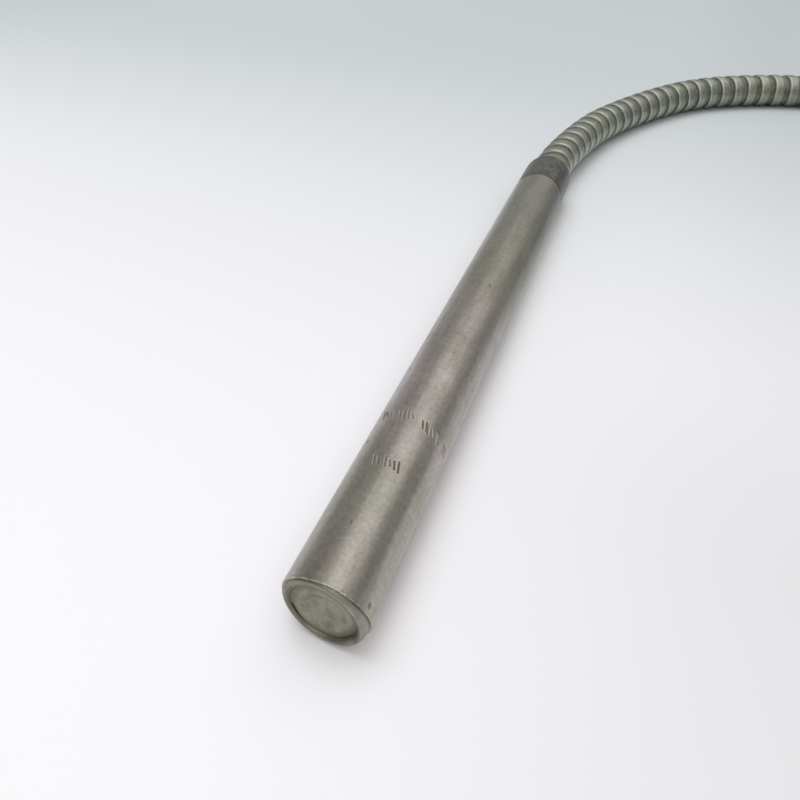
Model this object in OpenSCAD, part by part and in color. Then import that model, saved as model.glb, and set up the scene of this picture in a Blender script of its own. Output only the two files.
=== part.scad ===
// Cartridge heater with a flexible metal armour hose.
// The heater lies along X on a table: the closed end points to -X and the hose leaves towards +X.
// The origin is under the middle of the rigid heater, at the height of the table.
// The hose lies on the table, and its spare length is tied up in a round coil.

/* [Sheath] */
// Outside diameter of the ground sheath
sheath_d = 15.77; // [14.5:0.01:20]
// Length of the heater from the face of the closed end to the seam of the coupling
sheath_l = 152.4; // [110:0.1:300]
// Wall of the sheath tube
sheath_wall = 0.9; // [0.6:0.05:1.2]

/* [Closed end] */
// Length of the rolled lip in front of the ground surface
lip_l = 2.6; // [1.8:0.1:3.4]
// Step down from the ground surface to the lip
lip_step = 0.35; // [0.1:0.05:0.5]
// Distance that the lip turns in past the bore of the tube
lip_turn_in = 0.85; // [0.6:0.05:1.2]
// Depth of the end disc behind the face of the lip
disc_recess = 1.0; // [0.6:0.1:1.5]
// Thickness of the end disc
disc_t = 3.0; // [2:0.1:5]
// Diameter of the shallow dish in the end disc
dish_d = 7.6; // [5:0.1:9]
// Depth of the shallow dish in the end disc
dish_depth = 0.35; // [0.1:0.05:0.8]

/* [Heating core] */
// Thickness of the packed powder between the winding and the sheath
fill_t = 0.85; // [0.5:0.05:1.4]
// Bevel on the ends of each core segment
core_bevel = 0.4; // [0.2:0.1:0.8]
// Diameter of the resistance wire
wire_d = 0.8; // [0.5:0.05:1]
// Turns of the resistance wire round the core
wire_turns = 28; // [12:1:32]
// Room at each end of the core for the wire to reach its pin
wire_room = 2.4; // [2:0.1:4]
// Diameter of the terminal pins
pin_d = 2; // [1.6:0.1:2.2]
// Distance between the two terminal pins
pin_pitch = 5.2; // [5:0.1:5.6]
// Length of the short pin inside the core
pin_grip_l = 20; // [10:1:25]

/* [Ends of the core] */
// Thickness of the ceramic disc behind the closed end
base_insulator_t = 3; // [2:0.5:6]
// Thickness of the ceramic bushing at the lead end
lead_insulator_t = 8; // [5:0.5:12]
// Thickness of the cement seal at the lead end
seal_t = 3; // [2:0.5:5]

/* [Coupling] */
// Length of the coupling that shows between the sheath and the hose
coupling_l = 16.6; // [14:0.1:24]
// Amount by which the coupling is smaller than the sheath
coupling_drop = 0.2; // [0:0.05:0.4]
// Length of the spigot that sits in the sheath
spigot_l = 6; // [4:0.5:10]
// Wall of the spigot
spigot_wall = 1; // [0.8:0.1:1.4]
// Radius of the rounded shoulder at the hose
shoulder_r = 1.3; // [0.5:0.1:1.4]
// Length of hose held inside the coupling
hose_grip_l = 10; // [6:0.5:12]
// Height of the groove rolled in at the seam
seam_groove = 0.25; // [0.1:0.05:0.4]

/* [Splices] */
// Outside diameter of the crimped splice barrels
crimp_d = 3.4; // [3.2:0.1:3.6]
// Length of pin inside each splice barrel
crimp_grip_l = 5; // [3:0.5:6]
// Wall of the woven sleeves over the splices
sleeve_wall = 0.5; // [0.3:0.05:0.6]

/* [Armour hose] */
// Outside diameter of the armour hose
hose_d = 12.7; // [11.6:0.1:12.8]
// Whole length of the armour hose
hose_l = 914.4; // [820:0.1:980]
// Diameter of the outer turn of the coil, at the middle of the hose
coil_d = 152.4; // [148:0.1:158]
// Gap between two turns that lie side by side
turn_gap = 0.3; // [0.1:0.1:0.6]

/* [Cable ties] */
// Thickness of the tie strap
tie_t = 1.2; // [0.8:0.1:1.6]
// Width of the tie strap
tie_w = 4.8; // [3:0.1:7]
// Length of the tie's lock
lock_l = 7; // [6:0.5:9]
// Height of the tie's lock above the strap
lock_h = 4; // [3:0.5:6]

/* [Hose end] */
// Length of the end ferrule
ferrule_l = 12; // [9:0.5:14]
// Diameter of the hole that the leads pass through
ferrule_bore_d = 8.4; // [7.5:0.1:9]
// Radius of the rounded rim of the ferrule
ferrule_round = 1; // [0.5:0.1:1.5]
// Wall of the insulating bushing
bushing_wall = 0.8; // [0.5:0.1:1]
// Length of the bushing's collar outside the ferrule
collar_l = 1.5; // [1:0.1:3]

/* [Leads] */
// Diameter of the covered lead wires
lead_d = 2.6; // [2.2:0.1:2.8]
// Diameter of the ring terminal's barrel
barrel_d = 4; // [3.4:0.1:4.6]
// Length of the ring terminal's barrel
barrel_l = 7; // [5:0.5:10]
// Outside diameter of the terminal's ring
ring_d = 8.5; // [8:0.1:10]
// Diameter of the stud hole in the ring
stud_hole_d = 4.3; // [3.2:0.1:5.3]
// Thickness of the terminal's metal
tongue_t = 0.8; // [0.6:0.1:1.2]

/* [Hidden] */
$fn = 64;
// Overrun of a cut past the face that it opens
eps = 0.01;
// Clearance all round between two pieces that slide together
fit_gap = 0.1;
// The arcs of the coil stop short of each other by this angle, and a short straight stretch,
// smaller than the hose by a thin skin, joins them
joint_turn = 0.3;
joint_l = 4;
joint_skin = 0.1;
// Number of core segments in the row, one node each
core_count = 4;

// Radii
sheath_r = sheath_d / 2;
bore_r = sheath_r - sheath_wall;
lip_r = sheath_r - lip_step;
mouth_r = bore_r - lip_turn_in;
wire_r = wire_d / 2;
pin_r = pin_d / 2;
pin_hole_r = pin_r + fit_gap;
pin_y = pin_pitch / 2;
hose_r = hose_d / 2;
crimp_r = crimp_d / 2;
sleeve_r = crimp_r + fit_gap + sleeve_wall;
lead_r = lead_d / 2;
coupling_r = sheath_r - coupling_drop / 2;
cavity_r = bore_r - spigot_wall;

// Places along X, from the closed end to the hose
rigid_l = sheath_l + coupling_l;
face_x = -rigid_l / 2;
edge_x = face_x + lip_l;
disc_x = face_x + disc_recess;
base_x = disc_x + disc_t;
core_x = base_x + base_insulator_t + wire_room;
seam_x = face_x + sheath_l;
exit_x = seam_x + coupling_l;
spigot_x = seam_x - spigot_l;
seal_x = spigot_x - seal_t;
insulator_x = seal_x - lead_insulator_t;
core_end_x = insulator_x - wire_room;
core_l = (core_end_x - core_x) / core_count;
hose_x = exit_x - hose_grip_l;
crimp_x = hose_x - 2 * crimp_grip_l;

// The packed powder fills the sheath out to its bore and leaves the winding clear. The core
// is as thick as the chords of the wire round it allow
wire_sides = 6;
wire_steps = 14;
fill_bore_r = bore_r - fill_t;
wire_path_r = fill_bore_r - fit_gap - wire_r;
core_r = wire_path_r * cos(180 / wire_steps) - wire_r - fit_gap;

// Route of the hose on the table, as steps from the place where it leaves the coupling:
// along X, along Y, and how far it is lifted above lying flat
hose_points = [
    [14, -0.5, 1.5], [28, -2.4, 1.3], [42, -5, 1], [56, -8.6, 0.6], [70, -14, 0.2],
    [84, -21, 0], [97, -29, 0], [109, -38, 0], [119, -48.5, 0], [127, -60.5, 0],
    [133.5, -74, 0], [138, -88, 0], [141, -103, 0], [143, -119, 0], [144, -135, 0.1],
    [144, -150, 0.5], [144, -165, 1]
];
coil_start = [144, -180];
hose_sides = 12;
lead_sides = 8;

// The coil, from above and clockwise: half an outer turn, half a turn about a centre that is
// shifted by half a step, and then an inner turn that lies beside the outer one and draws in
// a little towards its end, to leave room for the ferrule
coil_lift = tie_t;
coil_z = hose_r + coil_lift;
coil_r = coil_d / 2;
turn_step = hose_d + turn_gap;
inner_r = coil_r - turn_step;
coil_mid_r = (coil_r + inner_r) / 2;
coil_x = exit_x + coil_start[0] - coil_r;
coil_y = coil_start[1];
hose_route = concat(
    [[hose_x, 0, sheath_r], [exit_x, 0, sheath_r]],
    [for (p = hose_points) [exit_x + p[0], p[1], hose_r + p[2]]],
    [[coil_x + coil_r, coil_y + hose_r, coil_z], [coil_x + coil_r, coil_y, coil_z]]
);
run_l = path_length(hose_route);
arc_unit = PI / 180;
outer_turn_l = PI * (coil_r + coil_mid_r);

// Ties sit on the stretch where two turns lie side by side
tie_place_shares = [0.2, 0.8];

// The ferrule takes the hose's end in a pocket, lies inside the outer turn and stands clear of it
pocket_share = 0.75;
rim_step = 15;
ferrule_r = coil_z;
pocket_l = ferrule_l * pocket_share;
ferrule_room_r = coil_r - hose_r - turn_gap - ferrule_r;
draw_in = (inner_r - sqrt(pow(ferrule_room_r, 2) - pow(ferrule_l, 2))) / 2;
drawn_r = inner_r - draw_in;
inner_turn = (hose_l - run_l - outer_turn_l - pocket_l) / (arc_unit * drawn_r);
ferrule_hole_r = ferrule_bore_d / 2;
bushing_r = ferrule_hole_r - fit_gap;
bushing_hole_r = bushing_r - bushing_wall;
collar_r = ferrule_hole_r + bushing_wall;
collar_x = ferrule_l + collar_l;

// A lead goes into its terminal's barrel for a share of the barrel's length
lead_y = lead_r + fit_gap;
barrel_r = barrel_d / 2;
barrel_grip_share = 0.6;
barrel_grip_l = barrel_l * barrel_grip_share;

// Routes of the two leads, as steps from the collar of the bushing: forward, towards the
// middle of the coil, and how far they are lifted above lying flat
left_points = [
    [4, 0.3, 6.1], [7.9, 1.2, 5.6], [11.6, 2.7, 4.7], [15, 4.7, 3.6], [18.1, 7.3, 2.5],
    [20.8, 10.2, 1.5], [22.9, 13.7, 0.8], [24.5, 17.4, 0.3], [25.5, 21.3, 0], [26, 25.3, 0],
    [25.9, 29.3, 0.2], [25.2, 33.2, 0.7]
];
right_points = [
    [4, 0.2, 6.1], [7.9, 0.8, 5.6], [11.8, 1.8, 4.7], [15.6, 3.2, 3.6], [19.2, 4.9, 2.5],
    [22.6, 7, 1.5], [25.8, 9.4, 0.8], [28.7, 12.1, 0.3], [31.3, 15.1, 0], [33.7, 18.4, 0],
    [35.6, 21.9, 0.2], [37.3, 25.6, 0.7]
];
left_side = -1;
right_side = 1;

// Length of a line through points
function path_length(p, i = 1) = i >= len(p) ? 0 : norm(p[i] - p[i - 1]) + path_length(p, i + 1);

// Direction of a path at one of its points
function unit(v) = v / norm(v);
function tangent(p, i) = unit(p[min(i + 1, len(p) - 1)] - p[max(i - 1, 0)]);

// One ring of points round a path
function ring(p, i, r, sides, side_on) =
    let (t = tangent(p, i), n = unit(cross(t, side_on)), b = cross(t, n))
    [for (k = [0:sides - 1]) p[i] + r * (n * cos(360 * k / sides) + b * sin(360 * k / sides))];

// A tube swept along a path: side_on is a direction that the path never follows
module sweep(path, r, sides, side_on) {
    count = len(path);
    points = [for (i = [0:count - 1]) each ring(path, i, r, sides, side_on)];
    walls = [
        for (i = [0:count - 2], k = [0:sides - 1])
            let (a = i * sides + k, b = i * sides + (k + 1) % sides) [a, a + sides, b + sides, b]
    ];
    caps = [[for (k = [0:sides - 1]) k], [for (k = [0:sides - 1]) count * sides - 1 - k]];
    polyhedron(points, concat(walls, caps));
}

// Placing: round shapes are drawn about Z and laid along X
module along_x(z = sheath_r) {
    translate([0, 0, z]) rotate([0, 90, 0]) children();
}

// A round rod between two places along X
module rod(r, from, to, y = 0) {
    translate([from, y, 0]) along_x() cylinder(r = r, h = to - from);
}

module pin_holes(from, to) {
    for (y = [-pin_y, pin_y]) rod(pin_hole_r, from - eps, to + eps, y);
}

// The sheath: a ground tube whose closed end is rolled in to a lip with an elliptical nose
module sheath() {
    lip_steps = 10;
    lip = [
        for (k = [0:lip_steps])
            let (a = 90 * k / lip_steps)
            [mouth_r + (lip_r - mouth_r) * cos(a), edge_x - lip_l * sin(a)]
    ];
    outline = concat(
        [[bore_r, seam_x], [sheath_r, seam_x], [sheath_r, edge_x]],
        lip,
        [[mouth_r, disc_x], [bore_r, disc_x]]
    );
    color([0.60, 0.60, 0.58]) along_x() rotate_extrude() polygon(outline);
}

module end_disc() {
    dish_r = dish_d / 2;
    outline = [
        [0, disc_x + dish_depth], [dish_r - dish_depth, disc_x + dish_depth], [dish_r, disc_x],
        [bore_r, disc_x], [bore_r, base_x], [0, base_x]
    ];
    color([0.42, 0.41, 0.34]) along_x() rotate_extrude() polygon(outline);
}

module base_insulator() {
    color([0.90, 0.87, 0.80]) rod(bore_r - fit_gap, base_x, base_x + base_insulator_t);
}

module core_segment(number) {
    from = core_x + (number - 1) * core_l;
    to = from + core_l;
    outline = [
        [0, from], [core_r - core_bevel, from], [core_r, from + core_bevel],
        [core_r, to - core_bevel], [core_r - core_bevel, to], [0, to]
    ];
    color([0.93, 0.92, 0.88]) difference() {
        along_x() rotate_extrude() polygon(outline);
        pin_holes(from, to);
    }
}

// The wire leaves the short pin, winds along the core and comes back in to the long pin
module winding() {
    from = core_end_x + wire_room / 2;
    to = core_x - wire_room / 2;
    steps = wire_turns * wire_steps + wire_steps / 2;
    foot = pin_y + pin_r;
    helix = [
        for (k = [0:steps])
            let (a = 360 * k / wire_steps)
            [from + (to - from) * k / steps, wire_path_r * cos(a), sheath_r + wire_path_r * sin(a)]
    ];
    path = concat([[from, foot, sheath_r]], helix, [[to, -foot, sheath_r]]);
    color([0.55, 0.52, 0.50]) sweep(path, wire_r, wire_sides, [1, 0, 0]);
}

module fill() {
    color([0.96, 0.96, 0.93]) difference() {
        rod(bore_r, base_x + base_insulator_t, insulator_x);
        rod(fill_bore_r, base_x, seal_x);
    }
}

module pin_short() {
    color([0.72, 0.71, 0.68]) rod(pin_r, core_end_x - pin_grip_l, crimp_x + crimp_grip_l, pin_y);
}

module pin_long() {
    color([0.72, 0.71, 0.68])
        rod(pin_r, core_x - wire_room + fit_gap, crimp_x + crimp_grip_l, -pin_y);
}

module lead_insulator() {
    color([0.90, 0.87, 0.80]) difference() {
        rod(bore_r - fit_gap, insulator_x, seal_x);
        pin_holes(insulator_x, seal_x);
    }
}

module seal() {
    color([0.80, 0.78, 0.72]) difference() {
        rod(bore_r, seal_x, spigot_x);
        pin_holes(seal_x, spigot_x);
    }
}

// The coupling: a spigot in the sheath, a groove at the seam and a rounded shoulder at the hose
module coupling() {
    mouth = hose_r + fit_gap;
    round = min(shoulder_r, coupling_r - mouth);
    round_steps = 8;
    shoulder = [
        for (k = [0:round_steps])
            let (a = 90 * k / round_steps)
            [coupling_r - round * (1 - cos(a)), exit_x - round * (1 - sin(a))]
    ];
    outline = concat(
        [
            [cavity_r, spigot_x], [bore_r, spigot_x], [bore_r, seam_x],
            [coupling_r - seam_groove, seam_x], [coupling_r - seam_groove, seam_x + seam_groove],
            [coupling_r, seam_x + 2 * seam_groove]
        ],
        shoulder,
        [[mouth, exit_x], [mouth, hose_x], [cavity_r, hose_x]]
    );
    color([0.36, 0.35, 0.32]) along_x() rotate_extrude() polygon(outline);
}

// A splice barrel, pressed once over the pin and once over the lead: each pressing is given
// as shares of the grip's length and of the dent's depth
module crimp(y) {
    dent = fit_gap;
    dent_shares = [[0.3, 0], [0.4, 1], [0.6, 1], [0.7, 0]];
    outline = [
        [pin_hole_r, crimp_x], [crimp_r, crimp_x],
        for (half = [0, 1], share = dent_shares)
            [crimp_r - dent * share[1], crimp_x + crimp_grip_l * (half + share[0])],
        [crimp_r, hose_x], [pin_hole_r, hose_x]
    ];
    color([0.75, 0.73, 0.70]) translate([0, y, 0]) along_x() rotate_extrude() polygon(outline);
}

module sleeve(y) {
    color([0.88, 0.85, 0.76]) difference() {
        rod(sleeve_r, spigot_x, hose_x, y);
        rod(crimp_r + fit_gap, spigot_x - eps, hose_x + eps, y);
    }
}

// The hose
module hose() {
    color([0.50, 0.50, 0.44]) sweep(hose_route, hose_r, hose_sides, [0, 0, 1]);
}

// One stretch of the coil, between two angles that run clockwise from its start
module coil_arc(from, to, r, middle_x = coil_x) {
    translate([middle_x, coil_y, coil_z]) rotate([0, 0, -to]) rotate_extrude(angle = to - from)
        translate([r, 0]) circle(hose_r);
}

// A short straight stretch of hose that joins two arcs of the coil
module coil_joint(x) {
    translate([x, coil_y, coil_z]) rotate([90, 0, 0])
        cylinder(r = hose_r - joint_skin, h = joint_l, center = true);
}

module hose_coil() {
    color([0.50, 0.50, 0.44]) {
        coil_arc(0, 180 - joint_turn, coil_r);
        coil_joint(coil_x - coil_r);
        coil_arc(180 + joint_turn, 360 - joint_turn, coil_mid_r, coil_x - turn_step / 2);
        coil_joint(coil_x + inner_r);
        coil_arc(joint_turn, inner_turn, drawn_r, coil_x + draw_in);
        at_hose_end() along_x(coil_z) translate([0, 0, -joint_l / 2])
            cylinder(r = hose_r - joint_skin, h = joint_l / 2 + pocket_l);
    }
}

// The outline round two turns side by side, at one distance from the middle of the hose
module pair_section(r, near_r, far_r) {
    translate([near_r, 0]) circle(r);
    translate([far_r, 0]) circle(r);
    translate([near_r, -r]) square([far_r - near_r, 2 * r]);
}

// A strap round both turns, with its lock on top
module tie(place_share) {
    place = inner_turn * place_share;
    turn = tie_w / coil_mid_r / arc_unit;
    near_r = drawn_r + draw_in * cos(place);
    lock_z = coil_z + hose_r + tie_t;
    color([0.90, 0.90, 0.86])
        translate([coil_x, coil_y, 0]) rotate([0, 0, -place]) {
            translate([0, 0, coil_z]) rotate([0, 0, -turn / 2]) rotate_extrude(angle = turn)
                difference() {
                    pair_section(hose_r + tie_t, near_r, coil_r);
                    pair_section(hose_r + fit_gap, near_r, coil_r);
                }
            difference() {
                translate([coil_mid_r - lock_l / 2, -tie_w / 2, lock_z - tie_t / 2])
                    cube([lock_l, tie_w, lock_h + tie_t / 2]);
                translate([coil_mid_r - lock_l, -tie_w / 4, lock_z + tie_t])
                    cube([2 * lock_l, tie_w / 2, tie_t]);
            }
        }
}

// The end of the hose: +X runs on along the hose and -Y points to the middle of the coil
module at_hose_end() {
    translate([coil_x + draw_in, coil_y, 0]) rotate([0, 0, -inner_turn]) translate([drawn_r, 0, 0])
        rotate([0, 0, -90]) children();
}

module ferrule() {
    pocket_r = hose_r + fit_gap;
    outline = [
        [pocket_r, 0], [ferrule_r - ferrule_round, 0],
        for (a = [0:rim_step:90])
            [ferrule_r - ferrule_round * (1 - sin(a)), ferrule_round * (1 - cos(a))],
        for (a = [0:rim_step:90])
            [ferrule_r - ferrule_round * (1 - cos(a)), ferrule_l - ferrule_round * (1 - sin(a))],
        [ferrule_hole_r, ferrule_l], [ferrule_hole_r, pocket_l], [pocket_r, pocket_l]
    ];
    color([0.62, 0.61, 0.57]) at_hose_end() along_x(coil_z) rotate_extrude() polygon(outline);
}

module bushing() {
    outline = [
        [bushing_hole_r, pocket_l], [bushing_r, pocket_l], [bushing_r, ferrule_l],
        [collar_r, ferrule_l], [collar_r, collar_x], [bushing_hole_r, collar_x]
    ];
    color([0.55, 0.16, 0.10]) at_hose_end() along_x(coil_z) rotate_extrude() polygon(outline);
}

// The leads: each starts at the hose's end, passes the bushing and ends in its terminal
function lead_route(steps, side) = concat(
    [[pocket_l, side * lead_y, coil_z], [collar_x, side * lead_y, coil_z]],
    [for (p = steps) [collar_x + p[0], side * lead_y - p[1], lead_r + p[2]]]
);
function lead_heading(steps) =
    let (n = len(steps), d = steps[n - 1] - steps[n - 2]) [d[0], -d[1], 0] / norm([d[0], d[1]]);

module lead(steps, side) {
    route = lead_route(steps, side);
    tip = route[len(route) - 1] + lead_heading(steps) * barrel_grip_l;
    color([0.86, 0.83, 0.74])
        at_hose_end() sweep(concat(route, [tip]), lead_r, lead_sides, [0, 0, 1]);
}

// A ring terminal that lies flat: its barrel takes the lead and its tongue runs out to the ring
module terminal(steps, side) {
    route = lead_route(steps, side);
    last = route[len(route) - 1];
    heading = lead_heading(steps);
    ring_r = ring_d / 2;
    ring_x = barrel_l + ring_r;
    tongue_x = barrel_l - barrel_r;
    color([0.78, 0.76, 0.70]) at_hose_end() translate([last[0], last[1], 0])
        rotate([0, 0, atan2(heading[1], heading[0])]) {
            difference() {
                along_x(barrel_r) cylinder(r = barrel_r, h = barrel_l);
                along_x(last[2]) translate([0, 0, -eps])
                    cylinder(r = lead_r + fit_gap, h = barrel_grip_l + eps);
            }
            difference() {
                union() {
                    translate([tongue_x, -barrel_r, 0]) cube([ring_x - tongue_x, barrel_d, tongue_t]);
                    translate([ring_x, 0, 0]) cylinder(r = ring_r, h = tongue_t);
                }
                translate([ring_x, 0, -eps]) cylinder(r = stud_hole_d / 2, h = tongue_t + 2 * eps);
            }
        }
}

sheath();
end_disc();
base_insulator();
core_segment(1);  // core_1
core_segment(2);  // core_2
core_segment(3);  // core_3
core_segment(4);  // core_4
winding();
fill();
pin_short();
pin_long();
lead_insulator();
seal();
coupling();
crimp(pin_y);  // crimp_short
crimp(-pin_y);  // crimp_long
sleeve(pin_y);  // sleeve_short
sleeve(-pin_y);  // sleeve_long
hose();
hose_coil();
tie(tie_place_shares[0]);  // tie_first
tie(tie_place_shares[1]);  // tie_second
ferrule();
bushing();
lead(left_points, left_side);  // lead_left
lead(right_points, right_side);  // lead_right
terminal(left_points, left_side);  // terminal_left
terminal(right_points, right_side);  // terminal_right
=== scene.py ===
"""The looks of a cartridge heater that lies on a table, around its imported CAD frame.

Lengths are in metres unless a name or a docstring says millimetres. +X runs along the
sheath to the hose, the closed end is towards -X, and +Z is up.
"""
import logging
import math
from collections.abc import Callable, Iterable, Sequence
from dataclasses import dataclass, field, replace
from enum import Enum
from typing import Any

import bmesh
import bpy
import numpy as np
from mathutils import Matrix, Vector


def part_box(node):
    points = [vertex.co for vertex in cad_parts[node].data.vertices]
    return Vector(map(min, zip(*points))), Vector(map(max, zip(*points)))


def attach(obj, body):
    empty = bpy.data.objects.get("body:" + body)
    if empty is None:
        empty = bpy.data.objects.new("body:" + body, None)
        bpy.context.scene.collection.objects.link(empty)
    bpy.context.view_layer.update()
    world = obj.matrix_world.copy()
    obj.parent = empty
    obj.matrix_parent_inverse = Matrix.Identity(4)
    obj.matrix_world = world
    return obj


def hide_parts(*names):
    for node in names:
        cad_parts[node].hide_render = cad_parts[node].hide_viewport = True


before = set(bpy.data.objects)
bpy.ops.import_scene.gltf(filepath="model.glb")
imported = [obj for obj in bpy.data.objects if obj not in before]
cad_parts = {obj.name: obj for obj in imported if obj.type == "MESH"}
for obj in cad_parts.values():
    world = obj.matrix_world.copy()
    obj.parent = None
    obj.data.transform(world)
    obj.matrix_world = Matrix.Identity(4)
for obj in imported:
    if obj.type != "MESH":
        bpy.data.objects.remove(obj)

LOG = logging.getLogger("heater")
MM = 0.001
TAU = 2 * math.pi
UP = np.array([0.0, 0.0, 1.0])
NOISE_LOW, NOISE_HIGH = 0.3, 0.7  # the range that soft noise mostly keeps to
MERGE_GAP = 1e-7  # points closer than this, in metres, become one
DISC_FIT = 0.02  # the play in mm of the closing disc in the sheath
BURR = 0.035  # the height in mm of the burr that a punch raises

Colour = tuple[float, float, float]
Span = tuple[float, float]
Outline = list[Span]
Triples = tuple[tuple[float, float, float], ...]
Socket = bpy.types.NodeSocket
Solid = tuple[np.ndarray, Any]  # points, and faces as point numbers


class Slot(Enum):
    """The material slots of the record, one for each of the scene's own pieces."""

    SHEATH = "sheath_steel"
    WELD = "weld_steel"
    COUPLING = "coupling_steel"
    HOSE = "hose_steel"
    TIE = "tie_plastic"
    FERRULE = "ferrule_steel"
    BUSHING = "bushing_plastic"
    COVER = "woven_cover"
    TERMINAL = "terminal_metal"


class Hand(Enum):
    """The way that a helix turns."""

    LEFT = -1
    RIGHT = 1


def math_operator(operation: str, swapped: bool = False) -> Callable[["Value", Any], "Value"]:
    """Makes a Python operator that adds one Math node.

    Args:
        operation: the Math node's operation.
        swapped: whether it is the reflected form, whose second term is the value itself.

    Returns:
        The method.
    """

    def operate(value: "Value", other: Any) -> "Value":
        """The node's result."""
        terms = (other, value) if swapped else (value, other)
        return value.math(operation, *terms)

    return operate


class Value:
    """A number that flows out of a socket. Python's operators add Math nodes."""

    def __init__(self, graph: "Graph", socket: bpy.types.NodeSocket) -> None:
        """Keeps the tree and the socket."""
        self.graph = graph
        self.socket = socket

    def math(self, operation: str, *terms: Any) -> "Value":
        """Adds one Math node, with values or plain numbers as its terms."""
        return self.graph.value("ShaderNodeMath", {"operation": operation}, dict(enumerate(terms)))

    __add__, __radd__ = math_operator("ADD"), math_operator("ADD", True)
    __sub__, __rsub__ = math_operator("SUBTRACT"), math_operator("SUBTRACT", True)
    __mul__, __rmul__ = math_operator("MULTIPLY"), math_operator("MULTIPLY", True)
    __truediv__, __rtruediv__ = math_operator("DIVIDE"), math_operator("DIVIDE", True)
    __pow__, __rpow__ = math_operator("POWER"), math_operator("POWER", True)
    __mod__, __rmod__ = math_operator("FLOORED_MODULO"), math_operator("FLOORED_MODULO", True)

    def __floordiv__(self, other: Any) -> "Value":
        """self // other."""
        return self.math("FLOOR", self / other)

    def __rfloordiv__(self, other: Any) -> "Value":
        """other // self."""
        return self.math("FLOOR", other / self)

    def sine(self) -> "Value":
        """The sine."""
        return self.math("SINE", self)

    def cosine(self) -> "Value":
        """The cosine."""
        return self.math("COSINE", self)

    def around(self, other: "Value") -> "Value":
        """The angle of the point (other, self), in radians."""
        return self.math("ARCTAN2", self, other)

    def within(self) -> "Value":
        """The number held between 0 and 1."""
        return self.math("MAXIMUM", self.math("MINIMUM", self, 1.0), 0.0)

    def spread(self, to_low: float, to_high: float) -> "Value":
        """Turns the usual range of soft noise into another one."""
        return self.ramp(NOISE_LOW, NOISE_HIGH, to_low, to_high)

    def ramp(self, low: float, high: float, to_low: float = 0.0, to_high: float = 1.0) -> "Value":
        """Turns a range into another one, with a smooth step.

        Args:
            low: where the step starts.
            high: where the step ends.
            to_low: the result at and before the start.
            to_high: the result at and past the end.

        Returns:
            The stepped value.
        """
        if low > high:
            low, high, to_low, to_high = high, low, to_high, to_low
        return self.graph.value(
            "ShaderNodeMapRange",
            {"interpolation_type": "SMOOTHSTEP"},
            {"Value": self, "From Min": low, "From Max": high, "To Min": to_low, "To Max": to_high},
            "Result",
        )


class Arrow:
    """A vector that flows out of a socket. Operators add Vector Math nodes."""

    def __init__(self, graph: "Graph", socket: bpy.types.NodeSocket) -> None:
        """Keeps the tree and the socket."""
        self.graph = graph
        self.socket = socket

    def math(self, operation: str, inputs: dict[Any, Any]) -> "Arrow":
        """Adds one Vector Math node and returns its vector."""
        settings = {"operation": operation}
        return self.graph.arrow("ShaderNodeVectorMath", settings, inputs, "Vector")

    def __add__(self, other: "Arrow") -> "Arrow":
        """self + other."""
        return self.math("ADD", {0: self, 1: other})

    def __mul__(self, times: Any) -> "Arrow":
        """The vector made longer by a number."""
        return self.math("SCALE", {0: self, "Scale": times})

    def __rmul__(self, times: Any) -> "Arrow":
        """The vector made longer by a number."""
        return self * times

    def cross(self, other: Any) -> "Arrow":
        """The cross product of this vector and another."""
        return self.math("CROSS_PRODUCT", {0: self, 1: other})

    def unit(self) -> "Arrow":
        """The vector made one long."""
        return self.math("NORMALIZE", {0: self})

    def parts(self) -> tuple[Value, Value, Value]:
        """The x, y and z of the vector."""
        node = self.graph.node("ShaderNodeSeparateXYZ", {}, {0: self})
        return tuple(Value(self.graph, node.outputs[i]) for i in range(3))


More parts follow.
